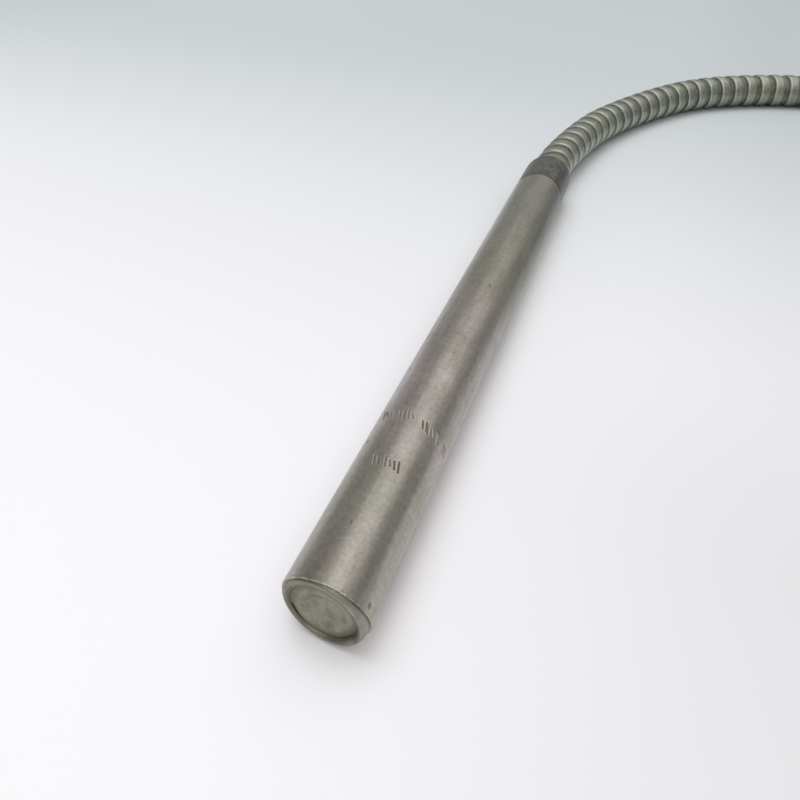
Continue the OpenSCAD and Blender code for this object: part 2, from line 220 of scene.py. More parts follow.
class Graph:
    """A node tree that calls and expressions fill."""

    def __init__(self, tree: bpy.types.NodeTree) -> None:
        """Keeps the tree."""
        self.tree = tree

    def feed(self, socket: bpy.types.NodeSocket, what: Any) -> None:
        """Links a socket, or sets its number, vector or colour.

        Args:
            socket: the input socket.
            what: a value, a vector or a socket to link, or what to set.
        """
        if isinstance(what, (Value, Arrow)):
            self.tree.links.new(what.socket, socket)
        elif isinstance(what, bpy.types.NodeSocket):
            self.tree.links.new(what, socket)
        elif socket.type == "RGBA" and len(what) == 3:
            socket.default_value = (*what, 1.0)
        else:
            socket.default_value = what

    def node(self, kind: str, settings: dict[str, Any], inputs: dict[Any, Any]) -> bpy.types.Node:
        """Adds any node.

        Args:
            kind: the node's type.
            settings: its properties, set first; "keep" names the vectors that a Capture
                Attribute node keeps.
            inputs: values or links, by socket name or number.

        Returns:
            The node.
        """
        node = self.tree.nodes.new(kind)
        for name, setting in settings.items():
            if name == "keep":
                for item in setting:
                    node.capture_items.new("VECTOR", item)
            else:
                setattr(node, name, setting)
        for key, what in inputs.items():
            self.feed(node.inputs[key], what)
        return node

    def value(
        self, kind: str, settings: dict[str, Any], inputs: dict[Any, Any], output: Any = 0
    ) -> Value:
        """Adds any node and returns one of its numbers."""
        return Value(self, self.node(kind, settings, inputs).outputs[output])

    def arrow(
        self, kind: str, settings: dict[str, Any], inputs: dict[Any, Any], output: Any = 0
    ) -> Arrow:
        """Adds any node and returns one of its vectors."""
        return Arrow(self, self.node(kind, settings, inputs).outputs[output])

    def point(self, x: Any, y: Any, z: Any) -> Arrow:
        """A vector from three numbers."""
        return self.arrow("ShaderNodeCombineXYZ", {}, {0: x, 1: y, 2: z})

    def noise(
        self, where: Arrow, per_metre: float, detail: float = 3.0, rough: float = 0.6
    ) -> Value:
        """Soft noise.

        Args:
            where: the place that is read.
            per_metre: how many blobs fit a metre.
            detail: how many finer layers are added.
            rough: how strong those layers are.

        Returns:
            A number about 0.5, mostly between NOISE_LOW and NOISE_HIGH.
        """
        inputs = {"Vector": where, "Scale": per_metre, "Detail": detail, "Roughness": rough}
        return self.value("ShaderNodeTexNoise", {}, inputs, "Fac")

    def mix(self, first: Any, second: Any, share: Any) -> bpy.types.NodeSocket:
        """Goes from the first colour to the second as the share goes from 0 to 1."""
        settings = {"data_type": "RGBA", "clamp_factor": True}
        return self.node("ShaderNodeMix", settings, {0: share, 6: first, 7: second}).outputs[2]

    def times(self, colour: Any, number: Value) -> bpy.types.NodeSocket:
        """A colour made lighter or darker by a number.

        Args:
            colour: the colour, or its socket.
            number: how many times lighter it gets.

        Returns:
            The changed colour's socket.
        """
        settings = {"data_type": "RGBA", "blend_type": "MULTIPLY"}
        grey = self.point(number, number, number)
        return self.node("ShaderNodeMix", settings, {0: 1.0, 6: colour, 7: grey}).outputs[2]

    def bump(self, height: Value, depth: float, strength: float = 1.0) -> bpy.types.NodeSocket:
        """A normal bent by a height.

        Args:
            height: the height, from 0 to 1.
            depth: how deep 1 is, in metres.
            strength: how much of it shows.

        Returns:
            The Normal socket.
        """
        inputs = {"Height": height, "Distance": depth, "Strength": strength}
        return self.node("ShaderNodeBump", {}, inputs).outputs["Normal"]

    def place(self) -> Arrow:
        """The place on the object, in metres."""
        return self.arrow("ShaderNodeTexCoord", {}, {}, "Object")

    def stored(self, name: str) -> Value:
        """A number that the mesh stores at its points."""
        return self.value("ShaderNodeAttribute", {"attribute_name": name}, {}, "Fac")


@dataclass(frozen=True)
class Finish:
    """A finish by its name. Each kind says what feeds the shader."""

    name: str

    def feeds(self, graph: Graph) -> dict[str, Any]:
        """The inputs of the shader that this finish sets or links, by socket name."""
        raise NotImplementedError

    def material(self) -> bpy.types.Material:
        """Makes the finish's material, or returns the one that was made before.

        Returns:
            The material.
        """
        made = bpy.data.materials.get(self.name)
        if made:
            return made
        made = bpy.data.materials.new(self.name)
        made.use_nodes = True
        made.node_tree.nodes.clear()
        graph = Graph(made.node_tree)
        shader = graph.node("ShaderNodeBsdfPrincipled", {}, self.feeds(graph))
        graph.node("ShaderNodeOutputMaterial", {}, {"Surface": shader.outputs["BSDF"]})
        return made


@dataclass(frozen=True)
class GroundSteel(Finish):
    """The ground sheath: fine lines around it, old stains, a darker rolled lip, and painted light
    and shade.
    """

    axis_z: float
    edge_x: float
    seam_x: float
    near: Colour = (0.43, 0.415, 0.378)
    mauve: Colour = (0.52, 0.462, 0.462)
    olive: Colour = (0.405, 0.395, 0.345)
    grey: Colour = (0.374, 0.379, 0.355)
    stain: Colour = (0.37, 0.37, 0.305)
    tan: Colour = (0.46, 0.40, 0.375)
    # dark_tone darkens the pits and the dents, and is painted shade in the mouth's gap.
    dark_tone: Colour = (0.075, 0.07, 0.055)
    seam: Colour = (0.17, 0.145, 0.13)
    lip: Colour = (0.285, 0.28, 0.232)
    # lip_painted_light: painted light low on the lip's -Y side.
    lip_painted_light: Colour = (0.40, 0.405, 0.365)
    # lip_mottle_and_shade: the lip's dark mottle, and painted shade at its bottom and on its inner
    # slope.
    lip_mottle_and_shade: Colour = (0.175, 0.162, 0.122)
    # bright: the worn edge's shine, with painted highlights on the edge and on the burrs.
    bright: Colour = (0.72, 0.70, 0.65)
    mouth_r: float = 0.0060
    mauve_x: Span = (-66 * MM, -44 * MM)
    olive_x: Span = (-25 * MM, 12 * MM)
    grey_x: Span = (22 * MM, 50 * MM)
    # How strongly painted shade darkens the low -Y flank and painted light brightens the +Y side.
    painted_shade_strength: float = 0.46
    painted_light_strength: float = 0.40

    def feeds(self, graph: Graph) -> dict[str, Any]:
        """Ground metal with its lines, stains, dents and rolled lip, and painted light and shade.

        Args:
            graph: the material's tree.

        Returns:
            The shader's inputs, by socket name.
        """
        place = graph.place()
        x, y, z = place.parts()
        height = z - self.axis_z
        angle = y.around(height)
        out = (y * y + height * height) ** 0.5
        lines = graph.noise(graph.point(x, angle * 0.0006, 0.0), 5200, 3.0, 0.65)
        wide_lines = graph.noise(graph.point(x, angle * 0.002, 0.3), 900, 2.0, 0.6)
        cloud = graph.noise(place + graph.point(0.31, 0.12, 0.2), 55)
        patch = graph.noise(place + graph.point(0.4, 0.1, 0.2), 150)
        speck = graph.noise(place + graph.point(0.1, 0.7, 0.3), 1400)
        pit = graph.noise(place + graph.point(0.2, 0.5, 0.6), 700, 1.0, 0.5)
        dent = graph.stored("dent")
        far = x.ramp(-30 * MM, 60 * MM, 0.0, 0.45)
        stained = (cloud.ramp(0.36, 0.66) + far).within() * patch.ramp(0.30, 0.62, 0.45, 1.0)
        warm = patch.ramp(0.46, 0.66) * 0.6
        spots = pit.ramp(0.74, 0.80) * 0.35
        beyond = x.ramp(self.edge_x - 0.02 * MM, self.edge_x - 0.10 * MM)
        colour = graph.mix(self.near, self.mauve, x.ramp(*self.mauve_x))
        colour = graph.mix(colour, self.olive, x.ramp(*self.olive_x))
        colour = graph.mix(colour, self.grey, x.ramp(*self.grey_x))
        colour = graph.mix(colour, self.tan, warm)
        colour = graph.mix(colour, self.stain, stained * 0.55)
        # Painted shade: a darker band low on the -Y flank; painted light: a lighter band on the +Y
        # side.
        painted_flank_shade = angle.ramp(-1.90, -1.35) * angle.ramp(-0.78, -1.08) * x.ramp(-48 * MM, 45 * MM)
        painted_side_light = angle.ramp(0.60, 0.95) * x.ramp(-15 * MM, 42 * MM)
        colour = graph.times(colour, 1.0 - self.painted_shade_strength * painted_flank_shade + self.painted_light_strength * painted_side_light)
        colour = graph.mix(colour, self.dark_tone, spots)
        streak = graph.noise(graph.point(x * 0.12, angle * 0.008, 0.7), 700)
        tone = lines.spread(0.94, 1.04) * wide_lines.spread(0.95, 1.04)
        tone = tone * streak.spread(0.90, 1.06)
        colour = graph.times(colour, tone * speck.spread(0.90, 1.07))
        # The crisp edge: partly worn bright metal, partly a painted highlight in specks, kept to
        # the top of the edge.
        highlight_side = angle.ramp(-0.95, -0.45, 0.05, 1.0) * angle.ramp(1.15, 0.60, 0.1, 1.0)
        rubbed = x.ramp(self.edge_x + 0.24 * MM, self.edge_x + 0.08 * MM) * highlight_side
        rubbed = rubbed * speck.ramp(0.40, 0.62, 0.2, 0.85)
        colour = graph.mix(colour, self.bright, rubbed * (1 - beyond))
        # Painted shade: the lip is made darker towards its bottom and on its inner slope above the
        # bottom; the patch share is a real mottle.
        low = height.ramp(1 * MM, -6 * MM) * 0.35
        low = low + out.ramp(6.85 * MM, 6.5 * MM) * height.ramp(-4.5 * MM, -1 * MM) * 0.8
        # Painted light: the lip is made paler low on its -Y side.
        pale = y.ramp(-3.5 * MM, -5.5 * MM) * height.ramp(-6.5 * MM, -3 * MM)
        lip = graph.mix(self.lip, self.lip_painted_light, pale)
        lip = graph.mix(lip, self.lip_mottle_and_shade, (patch.ramp(0.42, 0.66) * 0.5 + low).within())
        # Painted shade: a dark crescent in the gap at the mouth, low on the +Y side.
        left = y.ramp(-1 * MM, 3 * MM) * height.ramp(1 * MM, -3 * MM)
        lip = graph.mix(lip, self.dark_tone, out.ramp(self.mouth_r + 0.16 * MM, self.mouth_r) * left)
        colour = graph.mix(colour, lip, beyond)
        near_seam = x.ramp(self.seam_x - 0.5 * MM, self.seam_x - 0.05 * MM)
        colour = graph.mix(colour, self.seam, near_seam * patch.ramp(0.35, 0.6, 0.35, 0.8))
        # The dents are made darker and less metallic; the raised burrs beside them get a painted
        # highlight.
        colour = graph.mix(colour, self.dark_tone, dent.within() * 0.85)
        colour = graph.mix(colour, self.bright, (0.0 - dent).within() * 0.6)
        rough = 0.35 + 0.06 * stained + lines.spread(-0.03, 0.04) + 0.12 * beyond - 0.08 * rubbed
        grain = lines * 0.5 + speck * 0.5
        return {
            "Base Color": colour,
            "Metallic": 1.0 - 0.5 * dent.within(),
            "Roughness": (rough + 0.2 * dent.within()).within(),
            "Normal": graph.bump(grain, 0.004 * MM, 0.5),
        }


@dataclass(frozen=True)
class DarkSteel(Finish):
    """The coupling's dark oxidised steel, rusty at the seam."""

    seam_x: float
    metal: Colour = (0.150, 0.151, 0.140)
    rust: Colour = (0.135, 0.105, 0.095)

    def feeds(self, graph: Graph) -> dict[str, Any]:
        """Dark metal with a soft mottle and a rusty seam.

        Args:
            graph: the material's tree.

        Returns:
            The shader's inputs, by socket name.
        """
        place = graph.place()
        x = place.parts()[0]
        mottle = graph.noise(place, 420)
        grain = graph.noise(place, 2600, 2.0, 0.5)
        rusty = x.ramp(self.seam_x + 1.6 * MM, self.seam_x + 0.1 * MM)
        colour = graph.times(self.metal, mottle.spread(0.72, 1.35))
        colour = graph.mix(colour, self.rust, rusty * mottle.ramp(0.3, 0.6, 0.4, 1.0))
        return {
            "Base Color": colour,
            "Metallic": 0.85,
            "Roughness": mottle.spread(0.32, 0.48),
            "Normal": graph.bump(grain, 0.01 * MM, 0.7),
        }


@dataclass(frozen=True)
class TintedWeld(Finish):
    """The closing disc: heat tinted olive, with painted shade darkening its edge."""

    axis_z: float
    metal: Colour = (0.312, 0.300, 0.242)
    # edge: painted shade near the rim.
    edge: Colour = (0.165, 0.152, 0.112)
    bloom: Colour = (0.24, 0.205, 0.145)

    def feeds(self, graph: Graph) -> dict[str, Any]:
        """Tinted metal by its distance from the middle.

        Args:
            graph: the material's tree.

        Returns:
            The shader's inputs, by socket name.
        """
        place = graph.place()
        _, y, z = place.parts()
        height = z - self.axis_z
        out = (y * y + height * height) ** 0.5
        cloud = graph.noise(place, 330)
        grain = graph.noise(place, 1900)
        colour = graph.times(self.metal, cloud.spread(0.7, 1.2))
        colour = graph.mix(colour, self.bloom, cloud.ramp(0.52, 0.68) * 0.5)
        # Painted shade: the disc is made darker towards its rim, where the lip shades the moat.
        colour = graph.mix(colour, self.edge, out.ramp(4.4 * MM, 5.5 * MM) * 0.75)
        return {
            "Base Color": colour,
            "Metallic": 0.9,
            "Roughness": grain.spread(0.42, 0.60),
            "Normal": graph.bump(grain, 0.02 * MM, 0.8),
        }


@dataclass(frozen=True)
class StripSteel(Finish):
    """The hose's wound strip: dull galvanised bands, worn crests with a painted highlight, and
    grooves with painted shade.
    """

    band: Colour = (0.415, 0.430, 0.358)
    cool: Colour = (0.330, 0.363, 0.325)
    # crest: worn metal and a painted highlight; groove: painted shade.
    crest: Colour = (0.49, 0.507, 0.440)
    groove: Colour = (0.215, 0.238, 0.192)

    def feeds(self, graph: Graph) -> dict[str, Any]:
        """Metal that follows the strip's own width and height.

        Args:
            graph: the material's tree.

        Returns:
            The shader's inputs, by socket name.
        """
        place = graph.place()
        across = graph.stored("across")
        rise = graph.stored("rise")
        cloud = graph.noise(place, 130)
        streak = graph.noise(place, 900, 3.0, 0.65)
        colour = graph.mix(self.band, self.cool, cloud.ramp(0.38, 0.62) * 0.8)
        colour = graph.times(colour, streak.spread(0.82, 1.12))
        # The crests are partly worn and partly a painted highlight.
        worn = across.ramp(0.30, 0.12) * rise.ramp(0.50, 0.72) * streak.ramp(0.3, 0.6, 0.6, 1.0)
        colour = graph.mix(colour, self.crest, worn)
        # Painted shade: the grooves and the trailing side of each band are painted dark, with a
        # mottle.
        low = (rise.ramp(0.78, 0.52) + across.ramp(0.78, 1.0) * 0.45).within()
        groove_mottle = graph.noise(place, 420, 4.0, 0.62)
        groove = graph.times(self.groove, groove_mottle.ramp(0.32, 0.68, 0.72, 1.28))
        colour = graph.mix(colour, groove, low)
        return {
            "Base Color": colour,
            "Metallic": rise.spread(0.35, 0.95),
            "Roughness": streak.spread(0.34, 0.50),
            "Normal": graph.bump(streak, 0.02 * MM, 0.5),
        }


@dataclass(frozen=True)
class Stone(Finish):
    """A dull mineral: pressed powder, fired ceramic or cement."""

    tone: Colour
    grain_size: float
    dull: float = 0.85
    pits: float = 0.03

    def feeds(self, graph: Graph) -> dict[str, Any]:
        """A pale body with fine grain and faint clouds.

        Args:
            graph: the material's tree.

        Returns:
            The shader's inputs, by socket name.
        """
        place = graph.place()
        grain = graph.noise(place, 1 / self.grain_size)
        cloud = graph.noise(place, 180, 2.0, 0.5)
        colour = graph.times(self.tone, grain.spread(0.88, 1.04))
        colour = graph.times(colour, cloud.spread(0.94, 1.03))
        return {
            "Base Color": colour,
            "Roughness": grain.spread(self.dull - 0.08, self.dull + 0.06),
            "Normal": graph.bump(grain, self.pits * MM),
        }


@dataclass(frozen=True)
class DrawnMetal(Finish):
    """Drawn or plated metal with faint lines and a little tarnish."""

    tone: Colour
    tarnish: Colour
    gloss: float = 0.3
    tarnished: float = 0.5

    def feeds(self, graph: Graph) -> dict[str, Any]:
        """Metal with patches of tarnish and fine scratches.

        Args:
            graph: the material's tree.

        Returns:
            The shader's inputs, by socket name.
        """
        place = graph.place()
        cloud = graph.noise(place, 350)
        scratch = graph.noise(place, 3500, 2.0, 0.6)
        colour = graph.mix(self.tone, self.tarnish, cloud.ramp(0.42, 0.68) * self.tarnished)
        colour = graph.times(colour, scratch.spread(0.93, 1.05))
        return {
            "Base Color": colour,
            "Metallic": 1.0,
            "Roughness": cloud.spread(self.gloss - 0.06, self.gloss + 0.12),
            "Normal": graph.bump(scratch, 0.004 * MM, 0.6),
        }


@dataclass(frozen=True)
class GlassBraid(Finish):
    """Cream glass yarn, a little soiled."""

    tone: Colour = (0.80, 0.76, 0.65)
    soil: Colour = (0.52, 0.46, 0.35)
    thread: float = 0.09 * MM

    def feeds(self, graph: Graph) -> dict[str, Any]:
        """Fine threads with faint soiling and a soft sheen.

        Args:
            graph: the material's tree.

        Returns:
            The shader's inputs, by socket name.
        """
        place = graph.place()
        cloud = graph.noise(place, 160)
        thread = graph.noise(place, 1 / self.thread, 2.0, 0.5)
        colour = graph.mix(self.tone, self.soil, cloud.ramp(0.45, 0.72) * 0.6)
        colour = graph.times(colour, thread.spread(0.80, 1.05))
        return {
            "Base Color": colour,
            "Roughness": 0.72,
            "Sheen Weight": 0.25,
            "Normal": graph.bump(thread, 0.03 * MM),
        }


@dataclass(frozen=True)
class MouldedPlastic(Finish):
    """Moulded plastic with a fine texture and rubbed places."""

    tone: Colour
    rubbed: Colour
    gloss: float = 0.45

    def feeds(self, graph: Graph) -> dict[str, Any]:
        """A plain body with faint flow marks.

        Args:
            graph: the material's tree.

        Returns:
            The shader's inputs, by socket name.
        """
        place = graph.place()
        cloud = graph.noise(place, 240)
        grain = graph.noise(place, 4200, 2.0, 0.5)
        return {
            "Base Color": graph.mix(self.tone, self.rubbed, cloud.ramp(0.45, 0.75)),
            "Roughness": cloud.spread(self.gloss - 0.06, self.gloss + 0.10),
            "Normal": graph.bump(grain, 0.006 * MM, 0.7),
        }


def ring_faces(rows: int, columns: int, closed: bool = False) -> np.ndarray:
    """The quads of a grid whose columns run round and whose rows may.

    Args:
        rows: how many rings of points there are.
        columns: how many points each ring has.
        closed: whether the last ring is joined to the first.

    Returns:
        An array of quads, as point numbers.
    """
    row = np.arange(rows if closed else rows - 1)[:, None]
    column = np.arange(columns)[None, :]
    after = (column + 1) % columns
    below = (row + 1) % rows
    corners = ((row, column), (row, after), (below, after), (below, column))
    quads = [np.broadcast_to(r * columns + c, (len(row), columns)) for r, c in corners]
    return np.stack(quads, -1).reshape(-1, 4)


def linked(name: str, data: bpy.types.ID) -> bpy.types.Object:
    """Adds an object with this data to the scene.

    Args:
        name: the object's name.
        data: its mesh, camera or lamp.

    Returns:
        The object.
    """
    made = bpy.data.objects.new(name, data)
    bpy.context.scene.collection.objects.link(made)
    return made


def store(mesh: bpy.types.Mesh, stored: dict[str, Any] | None) -> None:
    """Stores numbers at a mesh's points, by name."""
    for key, numbers in (stored or {}).items():
        mesh.attributes.new(key, "FLOAT", "POINT").data.foreach_set("value", np.ravel(numbers))


def shaded(
    name: str, mesh: bpy.types.Mesh, sharp: float, merge: bool = False
) -> bpy.types.Object:
    """Points a mesh's faces outwards, shades them smoothly and makes it an object.

    Args:
        name: the object's name.
        mesh: the mesh.
        sharp: the angle in degrees past which an edge stays sharp.
        merge: whether points in the same place become one.

    Returns:
        The object, linked to the scene.
    """
    work = bmesh.new()
    work.from_mesh(mesh)
    if merge:
        bmesh.ops.remove_doubles(work, verts=work.verts, dist=MERGE_GAP)
    bmesh.ops.recalc_face_normals(work, faces=work.faces)
    work.to_mesh(mesh)
    work.free()
    mesh.shade_smooth()
    mesh.set_sharp_from_angle(angle=math.radians(sharp))
    return linked(name, mesh)


def piece(
    name: str,
    points: np.ndarray,
    faces: Iterable[Sequence[int]],
    finish: Finish,
    sharp: float = 35.0,
    stored: dict[str, np.ndarray] | None = None,
) -> bpy.types.Object:
    """Makes a piece of points and faces, smoothly shaded, with its finish.

    Args:
        name: the piece's name.
        points: its points, in metres.
        faces: its faces, as point numbers.
        finish: its finish.
        sharp: the angle in degrees past which an edge stays sharp.
        stored: numbers to store at the points, by name.

    Returns:
        The piece, linked to the scene.
    """
    mesh = bpy.data.meshes.new(name)
    mesh.from_pydata(np.asarray(points).tolist(), [], [list(map(int, f)) for f in faces])
    store(mesh, stored)
    made = shaded(name, mesh, sharp, merge=True)
    made.data.materials.append(finish.material())
    return made


def taken(work: bmesh.types.BMesh) -> Solid:
    """Takes the points and faces out of a bmesh and frees it.

    Args:
        work: the bmesh.

    Returns:
        Its points and faces.
    """
    work.verts.index_update()
    points = np.array([v.co[:] for v in work.verts])
    faces = [[v.index for v in f.verts] for f in work.faces]
    work.free()
    return points, faces


def joined(*parts: Solid) -> Solid:
    """Puts the points and faces of several parts together.

    Args:
        parts: the points and faces of each.

    Returns:
        The points and faces of all of them.
    """
    points, faces = [], []
    first = 0
    for more, more_faces in parts:
        points.append(more)
        faces += [[int(i) + first for i in f] for f in more_faces]
        first += len(more)
    return np.vstack(points), faces


def turned(outline: Sequence[Span], steps: int) -> Solid:
    """Turns an outline about the X axis.

    Args:
        outline: points as (x, radius), from one end to the other.
        steps: how many points go round.

    Returns:
        The points, ring by ring, and the quads between them.
    """
    angle = np.arange(steps) / steps * TAU
    x, radius = np.asarray(outline, float).T[:, :, None]
    rings = [x + 0 * angle, radius * np.sin(angle), radius * np.cos(angle)]
    return np.stack(rings, -1).reshape(-1, 3), ring_faces(len(outline), steps)


def round_axis(grid: np.ndarray) -> tuple[np.ndarray, np.ndarray]:
    """The angle of points round the X axis, from its top, and their distance from it."""
    return np.arctan2(grid[..., 1], grid[..., 2]), np.hypot(grid[..., 1], grid[..., 2])


def arc(centre: Span, radii: Span, start: float, end: float, steps: int) -> Outline:
    """Points of a part of an ellipse in an outline.

    Args:
        centre: its middle, as (x, radius).
        radii: its half sizes along x and along the radius.
        start: the first angle in degrees, 0 towards +x and 90 outwards.
        end: the last angle.
        steps: how many steps it has.

    Returns:
        The points, as (x, radius).
    """
    angles = np.radians(np.linspace(start, end, steps + 1))
    (x, r), (wide, high) = centre, radii
    return [(x + wide * math.cos(a), r + high * math.sin(a)) for a in angles]


def length_of(points: np.ndarray) -> float:
    """The length of a line of points."""
    return float(np.linalg.norm(np.diff(points, axis=0), axis=1).sum())


def blend(t: float, low: float, high: float, first: np.ndarray, last: np.ndarray) -> np.ndarray:
    """Goes from the first point to the last one as t goes from low to high."""
    return (high - t) / (high - low) * first + (t - low) / (high - low) * last


def smooth_line(points: Sequence[Sequence[float]], steps: int = 8) -> np.ndarray:
    """Runs a smooth curve through a line of points.

    Args:
        points: the points that the curve goes through.
        steps: how many steps go between two of them.

    Returns:
        The curve's points, with the first and last as given.
    """
    given = np.asarray(points, float)
    padded = np.vstack([2 * given[0] - given[1], given, 2 * given[-1] - given[-2]])
    gaps = np.sqrt(np.linalg.norm(np.diff(padded, axis=0), axis=1))
    knots = np.concatenate([[0], np.cumsum(gaps)])
    out = [given[0]]
    for i in range(1, len(padded) - 2):
        p0, p1, p2, p3 = padded[i - 1 : i + 3]
        t0, t1, t2, t3 = knots[i - 1 : i + 3]
        for t in np.linspace(t1, t2, steps + 1)[1:]:
            a1, a2 = blend(t, t0, t1, p0, p1), blend(t, t1, t2, p1, p2)
            a3 = blend(t, t2, t3, p2, p3)
            b1, b2 = blend(t, t0, t2, a1, a2), blend(t, t1, t3, a2, a3)
            out.append(blend(t, t1, t2, b1, b2))
    return np.array(out)


@dataclass(frozen=True)
class Place:
    """Where a piece stands on the table: a point, and the way that its +X goes."""

    x: float
    y: float
    turn: float
    z: float = 0.0

    def out(self, points: Any) -> np.ndarray:
        """Turns the place's own points into the frame's.

        Args:
            points: points in the place's own axes.

        Returns:
            The same points in the frame's axes.
        """
        p = np.atleast_2d(np.asarray(points, float))
        c, s = math.cos(self.turn), math.sin(self.turn)
        x = self.x + c * p[:, 0] - s * p[:, 1]
        y = self.y + s * p[:, 0] + c * p[:, 1]
        return np.stack([x, y, self.z + p[:, 2]], -1)


class ShapeTree(Graph):
    """A Geometry Nodes tree with named inputs for its sizes."""

    def __init__(self, name: str, sizes: dict[str, tuple[str, Any]]) -> None:
        """Makes the tree.

        Args:
            name: the tree's name.
            sizes: the kind and the number of each input, by name.
        """
        super().__init__(bpy.data.node_groups.new(name, "GeometryNodeTree"))
        face = self.tree.interface
        face.new_socket(name="Geometry", in_out="INPUT", socket_type="NodeSocketGeometry")
        self.sockets = {
            key: face.new_socket(name=key, in_out="INPUT", socket_type=kind)
            for key, (kind, _) in sizes.items()
        }
        face.new_socket(name="Geometry", in_out="OUTPUT", socket_type="NodeSocketGeometry")
        self.sizes = {key: number for key, (_, number) in sizes.items()}
        self.start = self.node("NodeGroupInput", {}, {})

    def size(self, name: str) -> Value:
        """The number that an input gives."""
        return Value(self, self.start.outputs[name])

    def shape(self, kind: str, inputs: dict[Any, Any], **settings: Any) -> Socket:
        """Adds any node and returns its first output."""
        return self.node(kind, settings, inputs).outputs[0]

    def line(self) -> Socket:
        """The starting object's line as a curve, with "Steps" points."""
        line = self.shape("GeometryNodeMeshToCurve", {"Mesh": self.start.outputs["Geometry"]})
        return self.shape("GeometryNodeResampleCurve", {"Curve": line, "Count": self.size("Steps")})

    def outline(self, name: str) -> Socket:
        """The outline of an object that an input gives, as a curve."""
        given = self.node("GeometryNodeObjectInfo", {}, {"Object": self.size(name)})
        return self.shape("GeometryNodeMeshToCurve", {"Mesh": given.outputs["Geometry"]})

    def swept(self, path: Socket, outline: Socket) -> Socket:
        """The closed solid that an outline makes along a path."""
        inputs = {"Curve": path, "Profile Curve": outline, "Fill Caps": True}
        return self.shape("GeometryNodeCurveToMesh", inputs)

    def along(self) -> Value:
        """How far along its curve each point lies, in metres."""
        return self.value("GeometryNodeSplineParameter", {}, {}, "Length")

    def finish(self, shape: bpy.types.NodeSocket, finish: Finish) -> None:
        """Ends the tree: instances made real, and the material set.

        Args:
            shape: the finished shape.
            finish: its finish.
        """
        real = self.shape("GeometryNodeRealizeInstances", {"Geometry": shape})
        inputs = {"Geometry": real, "Material": finish.material()}
        done = self.shape("GeometryNodeSetMaterial", inputs)
        self.node("NodeGroupOutput", {}, {"Geometry": done})

    def make(self, name: str, start: bpy.types.Object, sharp: float = 35.0) -> bpy.types.Object:
        """Runs the tree on an object and keeps the result as a plain mesh.

        Args:
            name: the new piece's name.
            start: the object that the tree starts from; it is removed.
            sharp: the angle in degrees past which an edge stays sharp.

        Returns:
            The piece.
        """
        modifier = start.modifiers.new(name, "NODES")
        modifier.node_group = self.tree
        for key, socket in self.sockets.items():
            modifier[socket.identifier] = self.sizes[key]
        start.update_tag()
        view = bpy.context.evaluated_depsgraph_get()
        view.update()
        mesh = bpy.data.meshes.new_from_object(start.evaluated_get(view), depsgraph=view)
        start.modifiers.remove(modifier)
        bpy.data.objects.remove(start)
        mesh.name = name
        return shaded(name, mesh, sharp)


def line_object(
    name: str,
    points: np.ndarray,
    closed: bool = False,
    stored: dict[str, np.ndarray] | None = None,
) -> bpy.types.Object:
    """A mesh of points and edges, for a tree to start from or to read as a profile.

    Args:
        name: the object's name.
        points: its points, in metres.
        closed: whether the last point is joined to the first.
        stored: numbers to store at the points, by name.

    Returns:
        The object.
    """
    mesh = bpy.data.meshes.new(name)
    count = len(points)
    edges = [(i, (i + 1) % count) for i in range(count if closed else count - 1)]
    mesh.from_pydata(np.asarray(points).tolist(), edges, [])
    store(mesh, stored)
    return linked(name, mesh)


def round_path(tree: ShapeTree, curve: bpy.types.NodeSocket, angle: Value, out: Value) -> Any:
    """Moves a curve's points out from it, and turns the curve's normal the same way.

    Args:
        tree: the tree that is built.
        curve: the curve along the path.
        angle: how far round each point goes, from the top.
        out: how far out each point goes.

    Returns:
        The moved curve.
    """
    along = tree.arrow("GeometryNodeInputTangent", {}, {})
    side = along.cross((0.0, 0.0, 1.0)).unit()
    top = side.cross(along)
    outward = top * angle.cosine() + side * angle.sine()
    settings = {"domain": "POINT", "keep": ["Outward"]}
    inputs = {0: curve, "Outward": outward}
    kept = tree.node("GeometryNodeCaptureAttribute", settings, inputs)
    outward = Arrow(tree, kept.outputs["Outward"])
    moved = tree.shape("GeometryNodeSetPosition", {0: kept.outputs[0], "Offset": outward * out})
    inputs = {"Curve": moved, "Normal": outward}
    return tree.shape("GeometryNodeSetCurveNormal", inputs, mode="FREE")


